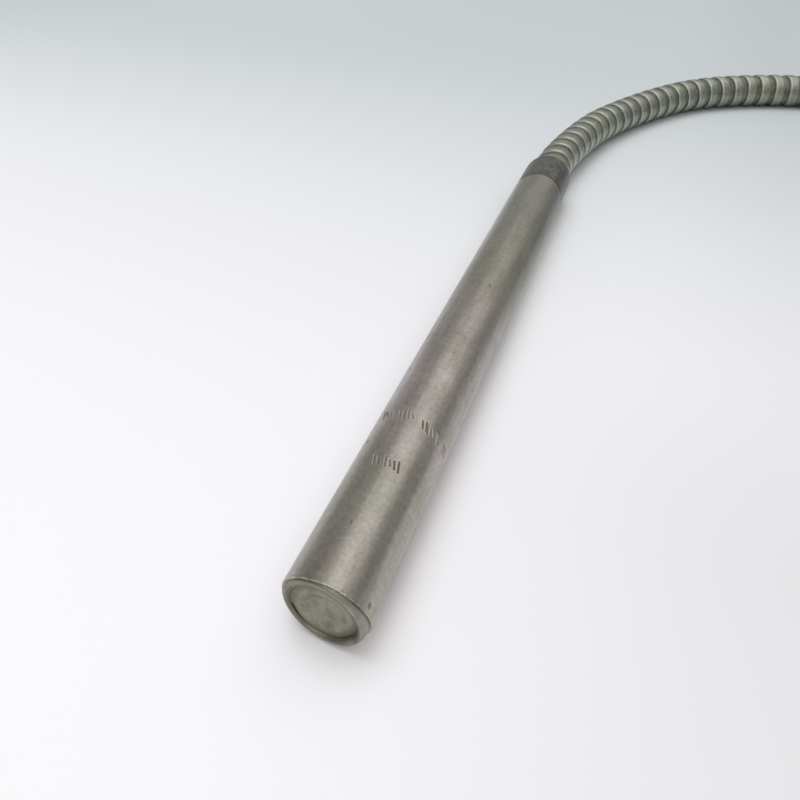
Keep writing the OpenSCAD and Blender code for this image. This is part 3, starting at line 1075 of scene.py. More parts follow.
@dataclass(frozen=True)
class PhotoCamera:
    """The photograph's camera, found from the outlines of the sheath and the hose."""

    x: float = -0.11573
    y: float = -0.02615
    z: float = 0.09495
    forward: tuple[float, float, float] = (0.65567, 0.26460, -0.70717)
    focal_px: float = 580.0
    frame_px: float = 800.0
    sensor_mm: float = 36.0

    def ray(self, px: Span) -> np.ndarray:
        """The direction in which a pixel of the photograph looks.

        Args:
            px: the pixel, as (x, y) from the top left corner.

        Returns:
            The direction, one long.
        """
        ahead = np.array(self.forward) / np.linalg.norm(self.forward)
        right = np.cross(ahead, UP)
        right /= np.linalg.norm(right)
        above = np.cross(right, ahead)
        half = self.frame_px / 2
        way = ahead + right * (px[0] - half) / self.focal_px
        way = way + above * (half - px[1]) / self.focal_px
        return way / np.linalg.norm(way)

    def on_rod(self, px: Span, radius: float, height: float) -> Span:
        """Where a pixel's ray meets a rod that lies along X.

        Args:
            px: the pixel.
            radius: the rod's radius.
            height: the height of its axis.

        Returns:
            The place along X, and the angle round the rod from its top towards +Y.
        """
        way = self.ray(px)
        y, z = self.y, self.z - height
        a = way[1] ** 2 + way[2] ** 2
        b = y * way[1] + z * way[2]
        c = y * y + z * z - radius * radius
        reach = (-b - math.sqrt(b * b - a * c)) / a
        return self.x + reach * way[0], math.atan2(y + reach * way[1], z + reach * way[2])

    def build(self) -> None:
        """Adds the camera and makes it the scene's."""
        data = bpy.data.cameras.new("photo_camera")
        data.sensor_fit = "HORIZONTAL"
        data.sensor_width = self.sensor_mm
        data.lens = self.focal_px / self.frame_px * self.sensor_mm
        data.clip_start = 0.002
        data.clip_end = 20.0
        camera = linked("photo_camera", data)
        camera.location = (self.x, self.y, self.z)
        camera.rotation_mode = "QUATERNION"
        camera.rotation_quaternion = Vector(self.forward).to_track_quat("-Z", "Y")
        bpy.context.scene.camera = camera


@dataclass
class HoseRoute:
    """The hose's way over the table, as in the part's source. Sizes in millimetres."""

    hose_x: float = 74.5
    exit_x: float = 84.5
    axis_z: float = 7.885
    hose_r: float = 6.35
    hose_l: float = 914.4
    coil_z: float = 7.55
    coil_x: float = 152.3
    coil_y: float = -180.0
    coil_r: float = 76.2
    turn_step: float = 13.0
    turn_gap: float = 0.3
    pocket_l: float = 9.0
    ferrule_l: float = 12.0
    steps: Triples = (  # x and y from the coupling, and the lift off the table
        (14, -0.5, 1.5), (28, -2.4, 1.3), (42, -5, 1), (56, -8.6, 0.6), (70, -14, 0.2),
        (84, -21, 0), (97, -29, 0), (109, -38, 0), (119, -48.5, 0), (127, -60.5, 0),
        (133.5, -74, 0), (138, -88, 0), (141, -103, 0), (143, -119, 0), (144, -135, 0.1),
        (144, -150, 0.5), (144, -165, 1),
    )
    draw_in: float = field(init=False)
    drawn_r: float = field(init=False)
    inner_turn: float = field(init=False)
    points: np.ndarray = field(init=False)

    def __post_init__(self) -> None:
        """Works out the coil, and lays the whole line of points."""
        inner_r = self.coil_r - self.turn_step
        room = self.coil_r - self.hose_r - self.turn_gap - self.coil_z
        self.draw_in = (inner_r - math.sqrt(room**2 - self.ferrule_l**2)) / 2
        self.drawn_r = inner_r - self.draw_in
        east = self.coil_x + self.coil_r
        run = [[self.hose_x, 0, self.axis_z], [self.exit_x, 0, self.axis_z]]
        run += [[self.exit_x + x, y, self.hose_r + lift] for x, y, lift in self.steps]
        run += [[east, self.coil_y + self.hose_r, self.coil_z], [east, self.coil_y, self.coil_z]]
        middle_r = self.coil_r - self.turn_step / 2
        spent = length_of(np.array(run)) + math.pi * (self.coil_r + middle_r) + self.pocket_l
        self.inner_turn = (self.hose_l - spent) / self.drawn_r
        turns = [
            self.turn(self.coil_x, self.coil_r, 0, math.pi),
            self.turn(self.coil_x - self.turn_step / 2, middle_r, math.pi, math.pi),
            self.turn(self.coil_x + self.draw_in, self.drawn_r, 0, self.inner_turn),
        ]
        tail = self.end().out([[self.pocket_l, 0, self.coil_z]])
        self.points = np.vstack([smooth_line(run), *turns, tail]) * MM

    def turn(
        self, x: float, radius: float, start: float, sweep: float, steps: int = 48
    ) -> np.ndarray:
        """Points of a turn, clockwise from above, without its first one.

        Args:
            x: the X of the turn's middle.
            radius: its radius.
            start: the angle in radians at which it starts.
            sweep: how far it goes, in radians.
            steps: how many points a full turn has.

        Returns:
            The points, in millimetres.
        """
        count = max(3, round(steps * sweep / TAU))
        angle = -(start + sweep * np.arange(1, count + 1) / count)
        y = self.coil_y + radius * np.sin(angle)
        return np.stack([x + radius * np.cos(angle), y, np.full(count, self.coil_z)], -1)

    def end(self) -> Place:
        """The place where the hose's last straight starts, in millimetres.

        Returns:
            The place.
        """
        angle = -self.inner_turn
        x = self.coil_x + self.draw_in + self.drawn_r * math.cos(angle)
        y = self.coil_y + self.drawn_r * math.sin(angle)
        return Place(x, y, angle - math.pi / 2)

    def exit(self) -> tuple[float, float, float]:
        """The point where the hose leaves the coupling, in metres."""
        return self.exit_x * MM, 0.0, self.axis_z * MM


@dataclass
class ArmourHose:
    """The strip-wound steel hose: one strip that turns round the route. Sizes in mm."""

    route: HoseRoute
    pitch: float = 6.7
    hand: Hand = Hand.RIGHT
    steps_a_turn: int = 24
    seat_r: float = 6.0
    strip: tuple[Span, ...] = (  # the place along the hose, and the radius
        (0.0, 5.55), (0.03, 5.84), (0.14, 6.08), (0.34, 6.24), (0.62, 6.33), (1.1, 6.35),
        (2.1, 6.33), (3.2, 6.27), (3.72, 6.18), (4.0, 6.06), (4.12, 5.95), (4.2, 5.87),
        (4.35, 5.83), (6.3, 5.80), (6.58, 5.50), (7.65, 5.50), (7.65, 5.22), (4.25, 5.28),
        (3.6, 5.50), (3.4, 5.86), (0.60, 5.95), (0.45, 5.55),
    )
    band_l: float = 4.12
    low_r: float = 5.2

    def profile(self) -> bpy.types.Object:
        """The strip's outline, with each point's share across the band and up to its top.

        Returns:
            The outline, as a closed line of points.
        """
        top = self.route.hose_r
        along = np.array([a for a, _ in self.strip])
        radius = np.array([r for _, r in self.strip])
        across = (self.band_l / 2 - along) * self.hand.value
        flat = np.stack([radius - self.seat_r, across, 0 * along], -1) * MM
        stored = {
            "across": np.clip(along / self.band_l, 0, 1.5),
            "rise": (radius - self.low_r) / (top - self.low_r),
        }
        return line_object("strip_outline", flat, closed=True, stored=stored)

    def tree(self, profile: bpy.types.Object, finish: Finish) -> ShapeTree:
        """The tree that winds the outline round a line.

        Args:
            profile: the strip's outline.
            finish: the strip's finish.

        Returns:
            The tree.
        """
        turns = length_of(self.route.points) / (self.pitch * MM)
        tree = ShapeTree(
            "wound_strip",
            {
                "Steps": ("NodeSocketInt", int(turns * self.steps_a_turn)),
                "Pitch": ("NodeSocketFloat", self.pitch * MM),
                "Radius": ("NodeSocketFloat", self.seat_r * MM),
                "Turning": ("NodeSocketFloat", float(self.hand.value)),
                "Outline": ("NodeSocketObject", profile),
            },
        )
        angle = tree.along() * TAU / tree.size("Pitch") * tree.size("Turning")
        wound = round_path(tree, tree.line(), angle, tree.size("Radius"))
        tree.finish(tree.swept(wound, tree.outline("Outline")), finish)
        return tree

    def build(self, finish: Finish) -> bpy.types.Object:
        """Winds the hose.

        Args:
            finish: the finish.

        Returns:
            The hose.
        """
        profile = self.profile()
        tree = self.tree(profile, finish)
        hose = tree.make("armour_hose", line_object("hose_line", self.route.points), sharp=50)
        bpy.data.objects.remove(profile)
        return hose


@dataclass
class CableTie:
    """A tie round both turns of the coil. Sizes in millimetres."""

    name: str
    node: str
    share: float
    route: HoseRoute
    width: float = 4.8
    thickness: float = 1.2
    slack: float = 0.02
    lock: tuple[float, float, float] = (7.0, 4.8, 4.0)
    tail_l: float = 9.0
    tooth_l: float = 0.45
    tooth_depth: float = 0.10
    rim: float = 0.25
    bend_steps: int = 26

    def place(self) -> Place:
        """The tie's place: +X points out from the coil's middle, and z is the hose's axis."""
        angle = -self.share * self.route.inner_turn
        return Place(self.route.coil_x, self.route.coil_y, angle, self.route.coil_z)

    def radii(self) -> tuple[float, float]:
        """How far the inner and the outer turn lie from the coil's middle."""
        angle = self.share * self.route.inner_turn
        return self.route.drawn_r + self.route.draw_in * math.cos(angle), self.route.coil_r

    def strap(self) -> Solid:
        """The strap: a flat band that goes round two circles, with fine teeth outside.

        Returns:
            Its points and faces, in the tie's own axes.
        """
        near, far = self.radii()
        outer = self.route.hose_r + self.thickness
        inner = self.route.hose_r + self.slack
        turns = np.linspace(-math.pi / 2, math.pi / 2, self.bend_steps)
        centre = [(far, a) for a in turns]
        flat = max(2, int((far - near) / self.tooth_l))
        centre += [(far + (near - far) * i / flat, math.pi / 2) for i in range(1, flat)]
        centre += [(near, a + math.pi) for a in turns]
        centre += [(near + (far - near) * i / flat, -math.pi / 2) for i in range(1, flat)]
        half, rim = self.width / 2, self.rim
        section = [
            (inner, -half), (outer - rim, -half), (outer, -half + rim), (outer, half - rim),
            (outer - rim, half), (inner, half),
        ]
        rows = []
        for number, (x, a) in enumerate(centre):
            top = outer - (self.tooth_depth if number % 2 else 0.0)
            for r, side in section:
                out = top if r == outer else r
                rows.append([x + math.cos(a) * out, side, math.sin(a) * out])
        return np.array(rows), ring_faces(len(centre), len(section), closed=True)

    def block(self, low: Sequence[float], high: Sequence[float], bevel: float) -> Solid:
        """A box with broken edges.

        Args:
            low: its low corner.
            high: its high corner.
            bevel: how wide the broken edges are.

        Returns:
            Its points and faces.
        """
        work = bmesh.new()
        bmesh.ops.create_cube(work, size=1.0)
        low, high = np.array(low), np.array(high)
        for vertex in work.verts:
            vertex.co = Vector((low + high) / 2 + np.array(vertex.co) * (high - low))
        bmesh.ops.bevel(
            work, geom=work.edges, offset=bevel, segments=2, profile=0.6, affect="EDGES"
        )
        return taken(work)

    def build(self, finish: Finish) -> bpy.types.Object:
        """Makes the tie: the strap, its lock and its cut tail.

        Args:
            finish: the finish.

        Returns:
            The tie.
        """
        middle = self.route.coil_r - self.route.turn_step / 2
        top = self.route.hose_r + self.thickness
        length, width, height = self.lock
        first, last, half = middle - length / 2, middle + length / 2, width / 2
        lock = self.block((first, -half, top - 0.35), (last, half, top + height), 0.5)
        cap = self.block(
            (first + 1.2, -half + 0.9, top + height - 0.4),
            (last - 2.4, half - 0.9, top + height + 0.25),
            0.15,
        )
        tail = self.block(
            (first - self.tail_l * 0.2, -half + 0.3, top + 1.2),
            (first + 0.5, half - 0.3, top + 2.3),
            0.2,
        )
        points, faces = joined(self.strap(), lock, cap, tail)
        return piece(self.name, self.place().out(points) * MM, faces, finish, sharp=30)


@dataclass
class HoseEnd:
    """The crimped ferrule on the hose and the bushing in it. Sizes in millimetres."""

    route: HoseRoute
    radius: float = 7.55
    length: float = 12.0
    bore_r: float = 4.2
    rounding: float = 1.0
    fit: float = 0.02
    bushing_r: float = 4.1
    bushing_hole_r: float = 3.3
    collar_r: float = 5.0
    collar_l: float = 1.5
    lip: float = 0.35
    dents: int = 6
    dent_x: Span = (3.2, 7.2)
    dent_size: Span = (1.1, 1.5)
    dent_depth: float = 0.42
    steps: tuple[int, int] = (96, 64)

    def place(self) -> Place:
        """The place of the hose's end, at the height of its axis."""
        return replace(self.route.end(), z=self.route.coil_z)

    def ferrule(self, finish: Finish) -> bpy.types.Object:
        """The ferrule, with two rings of crimp dents.

        Args:
            finish: the finish.

        Returns:
            The ferrule.
        """
        seat = self.route.pocket_l
        pocket_r = self.route.hose_r + self.fit
        edge, lip = self.rounding, self.lip
        outline = [(seat, pocket_r), (0.3, pocket_r), (0.0, pocket_r + 0.3)]
        outline += [(0.0, self.radius - lip)]
        outline += arc((lip, self.radius - lip), (lip, lip), 180, 90, 3)
        outline += [(x, self.radius) for x in np.linspace(0.8, self.length - edge - 0.1, 32)]
        outline += arc((self.length - edge, self.radius - edge), (edge, edge), 90, 0, 6)
        outline += [(self.length, self.bore_r + 0.3), (self.length - 0.25, self.bore_r + 0.05)]
        outline += [(seat, self.bore_r + 0.05)]
        steps = self.steps[0]
        points, _ = turned(outline, steps)
        grid = points.reshape(len(outline), steps, 3)
        angle, radius = round_axis(grid)
        long, wide = self.dent_size
        dent = np.zeros_like(radius)
        for ring, x in enumerate(self.dent_x):
            for number in range(self.dents):
                at = (number + 0.5 * ring) / self.dents * TAU + 0.3
                off = (angle - at + math.pi) % TAU - math.pi
                away = ((grid[..., 0] - x) / long) ** 2 + (off * self.radius / wide) ** 2
                dent += self.dent_depth * np.exp(-(away**2))
        shrink = np.where(radius > self.radius - 0.05, (radius - dent) / radius, 1.0)
        grid[..., 1:] *= shrink[..., None]
        faces = ring_faces(len(outline), steps, closed=True)
        points = self.place().out(grid.reshape(-1, 3)) * MM
        return piece("hose_ferrule", points, faces, finish, sharp=40)

    def bushing(self, finish: Finish) -> bpy.types.Object:
        """The red plastic bushing that keeps the leads off the ferrule's edge.

        Args:
            finish: the finish.

        Returns:
            The bushing.
        """
        low, out = self.length - 4.0, self.length + self.collar_l
        hole_r, steps = self.bushing_hole_r, self.steps[1]
        outline = [(low, hole_r + 0.1), (low, self.bushing_r - 0.3), (low + 0.4, self.bushing_r)]
        outline += [(self.length - 0.02, self.bushing_r)]
        outline += [(self.length + 0.02, self.collar_r - 0.2)]
        outline += arc((out - 0.5, self.collar_r - 0.5), (0.5, 0.5), 90, 0, 4)
        outline += arc((out - 0.7, hole_r + 0.7), (0.7, 0.7), 0, -90, 5)
        points, _ = turned(outline, steps)
        faces = ring_faces(len(outline), steps, closed=True)
        return piece("hose_bushing", self.place().out(points) * MM, faces, finish, sharp=40)


@dataclass
class Lead:
    """One braided lead from the hose's end to its ring terminal. Sizes in millimetres."""

    name: str
    route: HoseRoute
    side: float
    steps: Triples
    diameter: float = 2.6
    spread: float = 1.4
    collar_x: float = 13.5
    grip_l: float = 4.2
    lay: float = 10.0
    carriers: int = 8
    yarn: tuple[float, float] = (0.11, 0.66)
    steps_a_lay: int = 64
    points: np.ndarray = field(init=False)
    heading: float = field(init=False)
    last: np.ndarray = field(init=False)

    def __post_init__(self) -> None:
        """Lays the lead's line of points."""
        y = self.side * self.spread
        high = self.route.coil_z
        run = [[self.route.pocket_l, y, high], [self.collar_x, y, high]]
        low = self.diameter / 2
        run += [[self.collar_x + x, y - across, low + lift] for x, across, lift in self.steps]
        world = self.route.end().out(run)
        way = world[-1] - world[-2]
        self.heading = math.atan2(way[1], way[0])
        self.last = world[-1]
        flat = np.array([math.cos(self.heading), math.sin(self.heading), 0.0])
        self.points = np.vstack([smooth_line(world), world[-1] + self.grip_l * flat]) * MM

    def tree(self, profile: bpy.types.Object, finish: Finish) -> ShapeTree:
        """The tree that braids flat yarns round a line, over an inner tube.

        Args:
            profile: the outline of one yarn.
            finish: the cover's finish.

        Returns:
            The tree.
        """
        count = int(length_of(self.points) / (self.lay * MM) * self.steps_a_lay)
        thickness = self.yarn[0]
        tree = ShapeTree(
            f"braid_{self.name}",
            {
                "Steps": ("NodeSocketInt", count),
                "Lay": ("NodeSocketFloat", self.lay * MM),
                "Radius": ("NodeSocketFloat", (self.diameter / 2 - 1.5 * thickness) * MM),
                "Weave": ("NodeSocketFloat", 0.5 * thickness * MM),
                "Core": ("NodeSocketFloat", (self.diameter / 2 - 2.2 * thickness) * MM),
                "Yarns": ("NodeSocketInt", 2 * self.carriers),
                "Yarn": ("NodeSocketObject", profile),
            },
        )
        line = tree.line()
        inputs = {"Geometry": line, "Amount": tree.size("Yarns")}
        copies = tree.node("GeometryNodeDuplicateElements", {"domain": "SPLINE"}, inputs)
        number = Value(tree, copies.outputs["Duplicate Index"])
        way = 1.0 - 2.0 * (number % 2.0)
        first = (number // 2.0) * (TAU / self.carriers)
        share = tree.along() / tree.size("Lay")
        angle = way * share * TAU + first
        crossing = (share * (TAU * self.carriers)).cosine()
        out = tree.size("Radius") + way * crossing * tree.size("Weave")
        paths = round_path(tree, copies.outputs["Geometry"], angle, out)
        yarns = tree.swept(paths, tree.outline("Yarn"))
        inputs = {"Resolution": 20, "Radius": tree.size("Core")}
        core = tree.swept(line, tree.shape("GeometryNodeCurvePrimitiveCircle", inputs))
        join = tree.node("GeometryNodeJoinGeometry", {}, {})
        for part in (core, yarns):
            tree.tree.links.new(part, join.inputs[0])
        tree.finish(join.outputs[0], finish)
        return tree

    def build(self, finish: Finish) -> bpy.types.Object:
        """Braids the lead.

        Args:
            finish: the finish.

        Returns:
            The lead's cover.
        """
        thick, wide = self.yarn
        outline = [(-0.5, -0.42), (-0.5, 0.42), (0.1, 0.5), (0.5, 0.25), (0.5, -0.25), (0.1, -0.5)]
        flat = np.array([[a * thick, b * wide, 0.0] for a, b in outline]) * MM
        profile = line_object("yarn_outline", flat, closed=True)
        tree = self.tree(profile, finish)
        made = tree.make(f"lead_cover_{self.name}", line_object("lead_line", self.points), sharp=60)
        bpy.data.objects.remove(profile)
        return made


@dataclass
class RingTerminal:
    """A crimped ring terminal on a lead's end. Sizes in millimetres."""

    lead: Lead
    barrel_r: float = 2.0
    barrel_l: float = 7.0
    wall: float = 0.62
    ring_r: float = 4.25
    hole_r: float = 2.15
    tongue_w: float = 4.0
    tongue_t: float = 0.8
    tongue_in: float = 1.6
    press_x: float = 3.4
    press_depth: float = 0.55
    seam_depth: float = 0.20
    grid: tuple[int, int] = (30, 48)

    def barrel(self) -> Solid:
        """The rolled barrel, pressed in the middle and open along its seam.

        Returns:
            Its points and faces.
        """
        rows, columns = self.grid
        hole, length, top = self.barrel_r - self.wall, self.barrel_l, self.barrel_r
        outline = [(0.0, hole), (0.0, top - 0.15), (0.15, top)]
        outline += [(x, top) for x in np.linspace(0.4, length - 0.4, rows)]
        outline += [(length - 0.15, top), (length, top - 0.15), (length, hole)]
        points, _ = turned(outline, columns)
        grid = points.reshape(len(outline), columns, 3)
        angle, radius = round_axis(grid)
        off = grid[..., 0] - self.press_x
        outside = np.clip((radius - hole - 0.1) / 0.2, 0, 1)
        press = self.press_depth * np.exp(-(off**4)) * np.exp(-((angle / 0.75) ** 4))
        seam = self.seam_depth * np.exp(-((angle / 0.09) ** 2)) * (1 - np.exp(-((off / 1.3) ** 4)))
        new = radius - outside * (press + seam)
        grid[..., 1:] *= (new / radius)[..., None]
        return grid.reshape(-1, 3), ring_faces(len(outline), columns, closed=True)

    def ring(self) -> Solid:
        """The flat ring with its stud hole, and the tongue to the barrel.

        Returns:
            Its points and faces.
        """
        centre, start = self.barrel_l + self.ring_r, self.barrel_l - self.tongue_in
        half = self.tongue_w / 2
        meet = math.asin(half / self.ring_r)
        angles = np.linspace(math.pi - meet, -math.pi + meet, 49)
        rim = [(centre + self.ring_r * math.cos(a), self.ring_r * math.sin(a)) for a in angles]
        turns = np.arange(48) / 48 * TAU
        hole = [(centre + self.hole_r * math.cos(a), self.hole_r * math.sin(a)) for a in turns]
        work = bmesh.new()
        loops = []
        for outline in ([(start, half), *rim, (start, -half)], hole):
            loop = [work.verts.new((x, y, 0.0)) for x, y in outline]
            loops += [work.edges.new(pair) for pair in zip(loop, loop[1:] + loop[:1])]
        flat = bmesh.ops.triangle_fill(work, edges=loops, use_beauty=True)
        faces = [g for g in flat["geom"] if isinstance(g, bmesh.types.BMFace)]
        raised = bmesh.ops.extrude_face_region(work, geom=faces)
        for item in raised["geom"]:
            if isinstance(item, bmesh.types.BMVert):
                item.co.z += self.tongue_t
        rims = [e for e in work.edges if self.sharp_rim(e)]
        bmesh.ops.bevel(work, geom=rims, offset=0.1, segments=2, profile=0.5, affect="EDGES")
        return taken(work)

    @staticmethod
    def sharp_rim(edge: bmesh.types.BMEdge) -> bool:
        """Whether an edge is a sharp one that lies flat."""
        flat = abs(edge.verts[0].co.z - edge.verts[1].co.z) < 1e-6
        return flat and len(edge.link_faces) == 2 and edge.calc_face_angle(0) > 1.0

    def build(self, finish: Finish) -> bpy.types.Object:
        """Makes the terminal.

        Args:
            finish: the finish.

        Returns:
            The terminal.
        """
        points, faces = self.barrel()
        points, faces = joined((points + np.array([0, 0, self.barrel_r]), faces), self.ring())
        place = Place(self.lead.last[0], self.lead.last[1], self.lead.heading)
        name = f"ring_terminal_{self.lead.name}"
        return piece(name, place.out(points) * MM, faces, finish, sharp=38)


@dataclass(frozen=True)
class Stroke:
    """A worn stroke in the steel, in millimetres along X and round the sheath."""

    start: Span
    end: Span
    half_w: float
    depth: float
    burr: float = BURR

    def away(self, along: np.ndarray, round_: np.ndarray) -> np.ndarray:
        """The distance of points from the stroke's middle line.

        Args:
            along: the points' places along X.
            round_: their places round the sheath.

        Returns:
            The distances, in millimetres.
        """
        a, b = np.array(self.start), np.array(self.end)
        way = b - a
        share = ((along - a[0]) * way[0] + (round_ - a[1]) * way[1]) / max(way @ way, 1e-9)
        share = np.clip(share, 0, 1)
        return np.hypot(along - a[0] - share * way[0], round_ - a[1] - share * way[1])


@dataclass
class Sheath:
    """The sheath tube with its marks, its crisp edge and its rolled, slanting lip.

    Sizes in millimetres.
    """

    camera: PhotoCamera
    radius: float
    axis_z: float
    face_x: float
    seam_x: float
    wall: float = 0.9
    lip_l: float = 2.6
    lip_step: float = 0.35
    mouth_r: float = 6.0
    crest_r: float = 6.72
    lip_mean: float = 1.42
    lip_slant: Span = (-0.90, -0.45)
    lip_back: float = 0.22
    mouth_l: float = 1.4
    groove_at: float = -0.40
    groove_wide: float = 0.55
    groove_depth: float = 0.22
    mark_h: float = 2.2
    lean: float = 0.3
    mark_half_w: float = 0.19
    mark_depth: float = 0.15
    full_dent: float = 0.16
    fine_step: float = 0.13
    nick_step: float = 0.16
    first_row: tuple[Span, ...] = (  # places in the photo's pixels
        (386, 415), (393, 415), (402, 415), (410.5, 415), (425, 425.6), (430, 432),
        (437, 440), (444, 451),
    )
    second_row: tuple[Span, ...] = ((376, 460), (387.4, 462), (396.5, 466.3))
    nicks: Triples = (  # the place in the photo's pixels, and the half width in mm
        (490.5, 285.3, 0.5), (449, 326, 0.32), (410.4, 368.8, 0.4), (367.7, 441.7, 0.35),
        (493.6, 255.7, 0.3), (369.5, 606, 0.45),
    )

    @property
    def edge_x(self) -> float:
        """Where the ground surface ends in its crisp edge."""
        return self.face_x + self.lip_l

    def on_surface(self, px: Span) -> Span:
        """A pixel's place on the sheath, in millimetres along X and round it."""
        x, angle = self.camera.on_rod(px, self.radius * MM, self.axis_z * MM)
        return x / MM, angle * self.radius

    def strokes(self) -> list[Stroke]:
        """Plain worn strokes and dimples where the sheath is stamped, and its nicks.

        Returns:
            The strokes.
        """
        out = []
        half = self.mark_h / 2
        for number, px in enumerate((*self.first_row, *self.second_row)):
            x, round_ = self.on_surface(px)
            worn = (1.0, 0.7, 0.9, 0.55)[number % 4]
            short = (0.55, 1.0, 0.7)[number % 3]
            for side, length in ((-0.42, short), (0.42, 1.3 - 0.5 * short)):
                first = (x - half * length, round_ + side - self.lean)
                last = (x + half * length, round_ + side + self.lean)
                out.append(Stroke(first, last, self.mark_half_w, self.mark_depth * worn))
        for px_x, px_y, size in self.nicks:
            x, round_ = self.on_surface((px_x, px_y))
            out.append(Stroke((x - 0.15, round_), (x + 0.15, round_ + 0.1), size, 0.10, 0.0))
        return out

    def rows(self) -> list[tuple[float, float, float]]:
        """The outline as (x, radius, share of the lip), from the seam round to the bore.

        A share below zero marks a point that the groove under the edge takes down.

        Returns:
            The rows, from first to last.
        """
        r, edge, seam = self.radius, self.edge_x, self.seam_x
        bore = r - self.wall
        fine = [self.on_surface(px)[0] for px in self.first_row]
        spots = [self.on_surface(nick[:2])[0] for nick in self.nicks]
        spans = [np.arange(min(fine) - 14.0, max(fine) + 3.0, self.fine_step)]
        spans += [np.arange(spot - 1.0, spot + 1.0, self.nick_step) for spot in spots]
        spans += [np.linspace(edge + 0.5, seam - 0.5, 50)]
        places = set(np.round(np.concatenate(spans), 4).tolist())
        rows = [(seam, r - 0.3, 0.0), (seam - 0.12, r - 0.06, 0.0), (seam - 0.3, r, 0.0)]
        last = seam
        for x in sorted((x for x in places if edge + 0.3 < x < seam - 0.4), reverse=True):
            if last - x > 0.05:
                rows.append((x, r, 0.0))
                last = x
        foot = r - self.lip_step
        start = edge - self.lip_back
        crest, mouth = self.crest_r, self.mouth_r
        rows += [(edge + 0.16, r, 0.0), (edge + 0.05, r - 0.03, 0.0), (edge, r - 0.10, 0.0)]
        rows += [(edge + 0.02, foot - 0.02, -1.0), (edge - 0.14, foot - 0.03, -1.0)]
        rows += [(start, foot - 0.01, 0.04)]
        for a in np.linspace(0, math.pi / 2, 12)[1:]:
            rows.append((start, crest + (foot - crest) * math.cos(a), math.sin(a)))
        for a in np.linspace(0, math.pi / 2, 8)[1:]:
            share = 0.35 + 0.65 * math.cos(a)
            rows.append((start, crest - (crest - mouth) * math.sin(a) ** 0.8, share))
        rows += [(start, mouth, 0.2), (edge + self.mouth_l, mouth, 0.0)]
        rows += [(edge + self.mouth_l, bore, 0.0), (seam, bore, 0.0)]
        return rows

    def columns(self) -> np.ndarray:
        """The angles round the sheath, close together over the marks.

        Returns:
            The angles, in radians.
        """
        step = self.fine_step / self.radius
        fine = np.arange(math.radians(-80), math.radians(56), step)
        rest = np.linspace(fine[-1], fine[0] + TAU, 72)[1:-1]
        return np.concatenate([fine, rest])

    def reach(self, angle: np.ndarray) -> np.ndarray:
        """How far the lip stands out beyond the edge, which is least at the top."""
        down, across = self.lip_slant
        return self.lip_mean + down * np.cos(angle) + across * np.sin(angle) - self.lip_back

    def build(self, finish: Finish) -> bpy.types.Object:
        """Makes the sheath.

        Args:
            finish: the finish.

        Returns:
            The sheath.
        """
        rows = np.array(self.rows())
        angle = self.columns()
        along, out, share = rows.T[:, :, None]
        grooved = share < 0
        x = along - np.where(grooved, 0, share) * self.reach(angle)[None, :]
        off = (angle - self.groove_at + math.pi) % TAU - math.pi
        groove = self.groove_depth * np.exp(-((off / self.groove_wide) ** 2))
        radius = out - np.where(grooved, groove[None, :], 0)
        ground = (np.abs(radius - self.radius) < 0.02) & (x > self.edge_x + 0.1)
        round_ = ((angle + math.pi) % TAU - math.pi)[None, :] * self.radius
        depth = np.zeros_like(radius)
        burr = np.zeros_like(radius)
        for stroke in self.strokes():
            away = stroke.away(x, np.broadcast_to(round_, x.shape)) / stroke.half_w
            inside = np.clip(1.25 - away, 0, 1)
            depth = np.maximum(depth, stroke.depth * inside * inside * (3 - 2 * inside))
            burr = np.maximum(burr, stroke.burr * np.exp(-(((away - 1.45) / 0.3) ** 2)))
        dent = np.where(ground, depth, 0.0)
        raised = np.where(ground & (depth < 0.01), burr, 0.0)
        radius = radius - dent + raised
        grid = np.stack([x, radius * np.sin(angle), self.axis_z + radius * np.cos(angle)], -1)
        faces = ring_faces(len(rows), len(angle), closed=True)
        stored = {"dent": dent / self.full_dent - raised / BURR}
        points = grid.reshape(-1, 3) * MM
        return piece("sheath_tube", points, faces, finish, sharp=33, stored=stored)


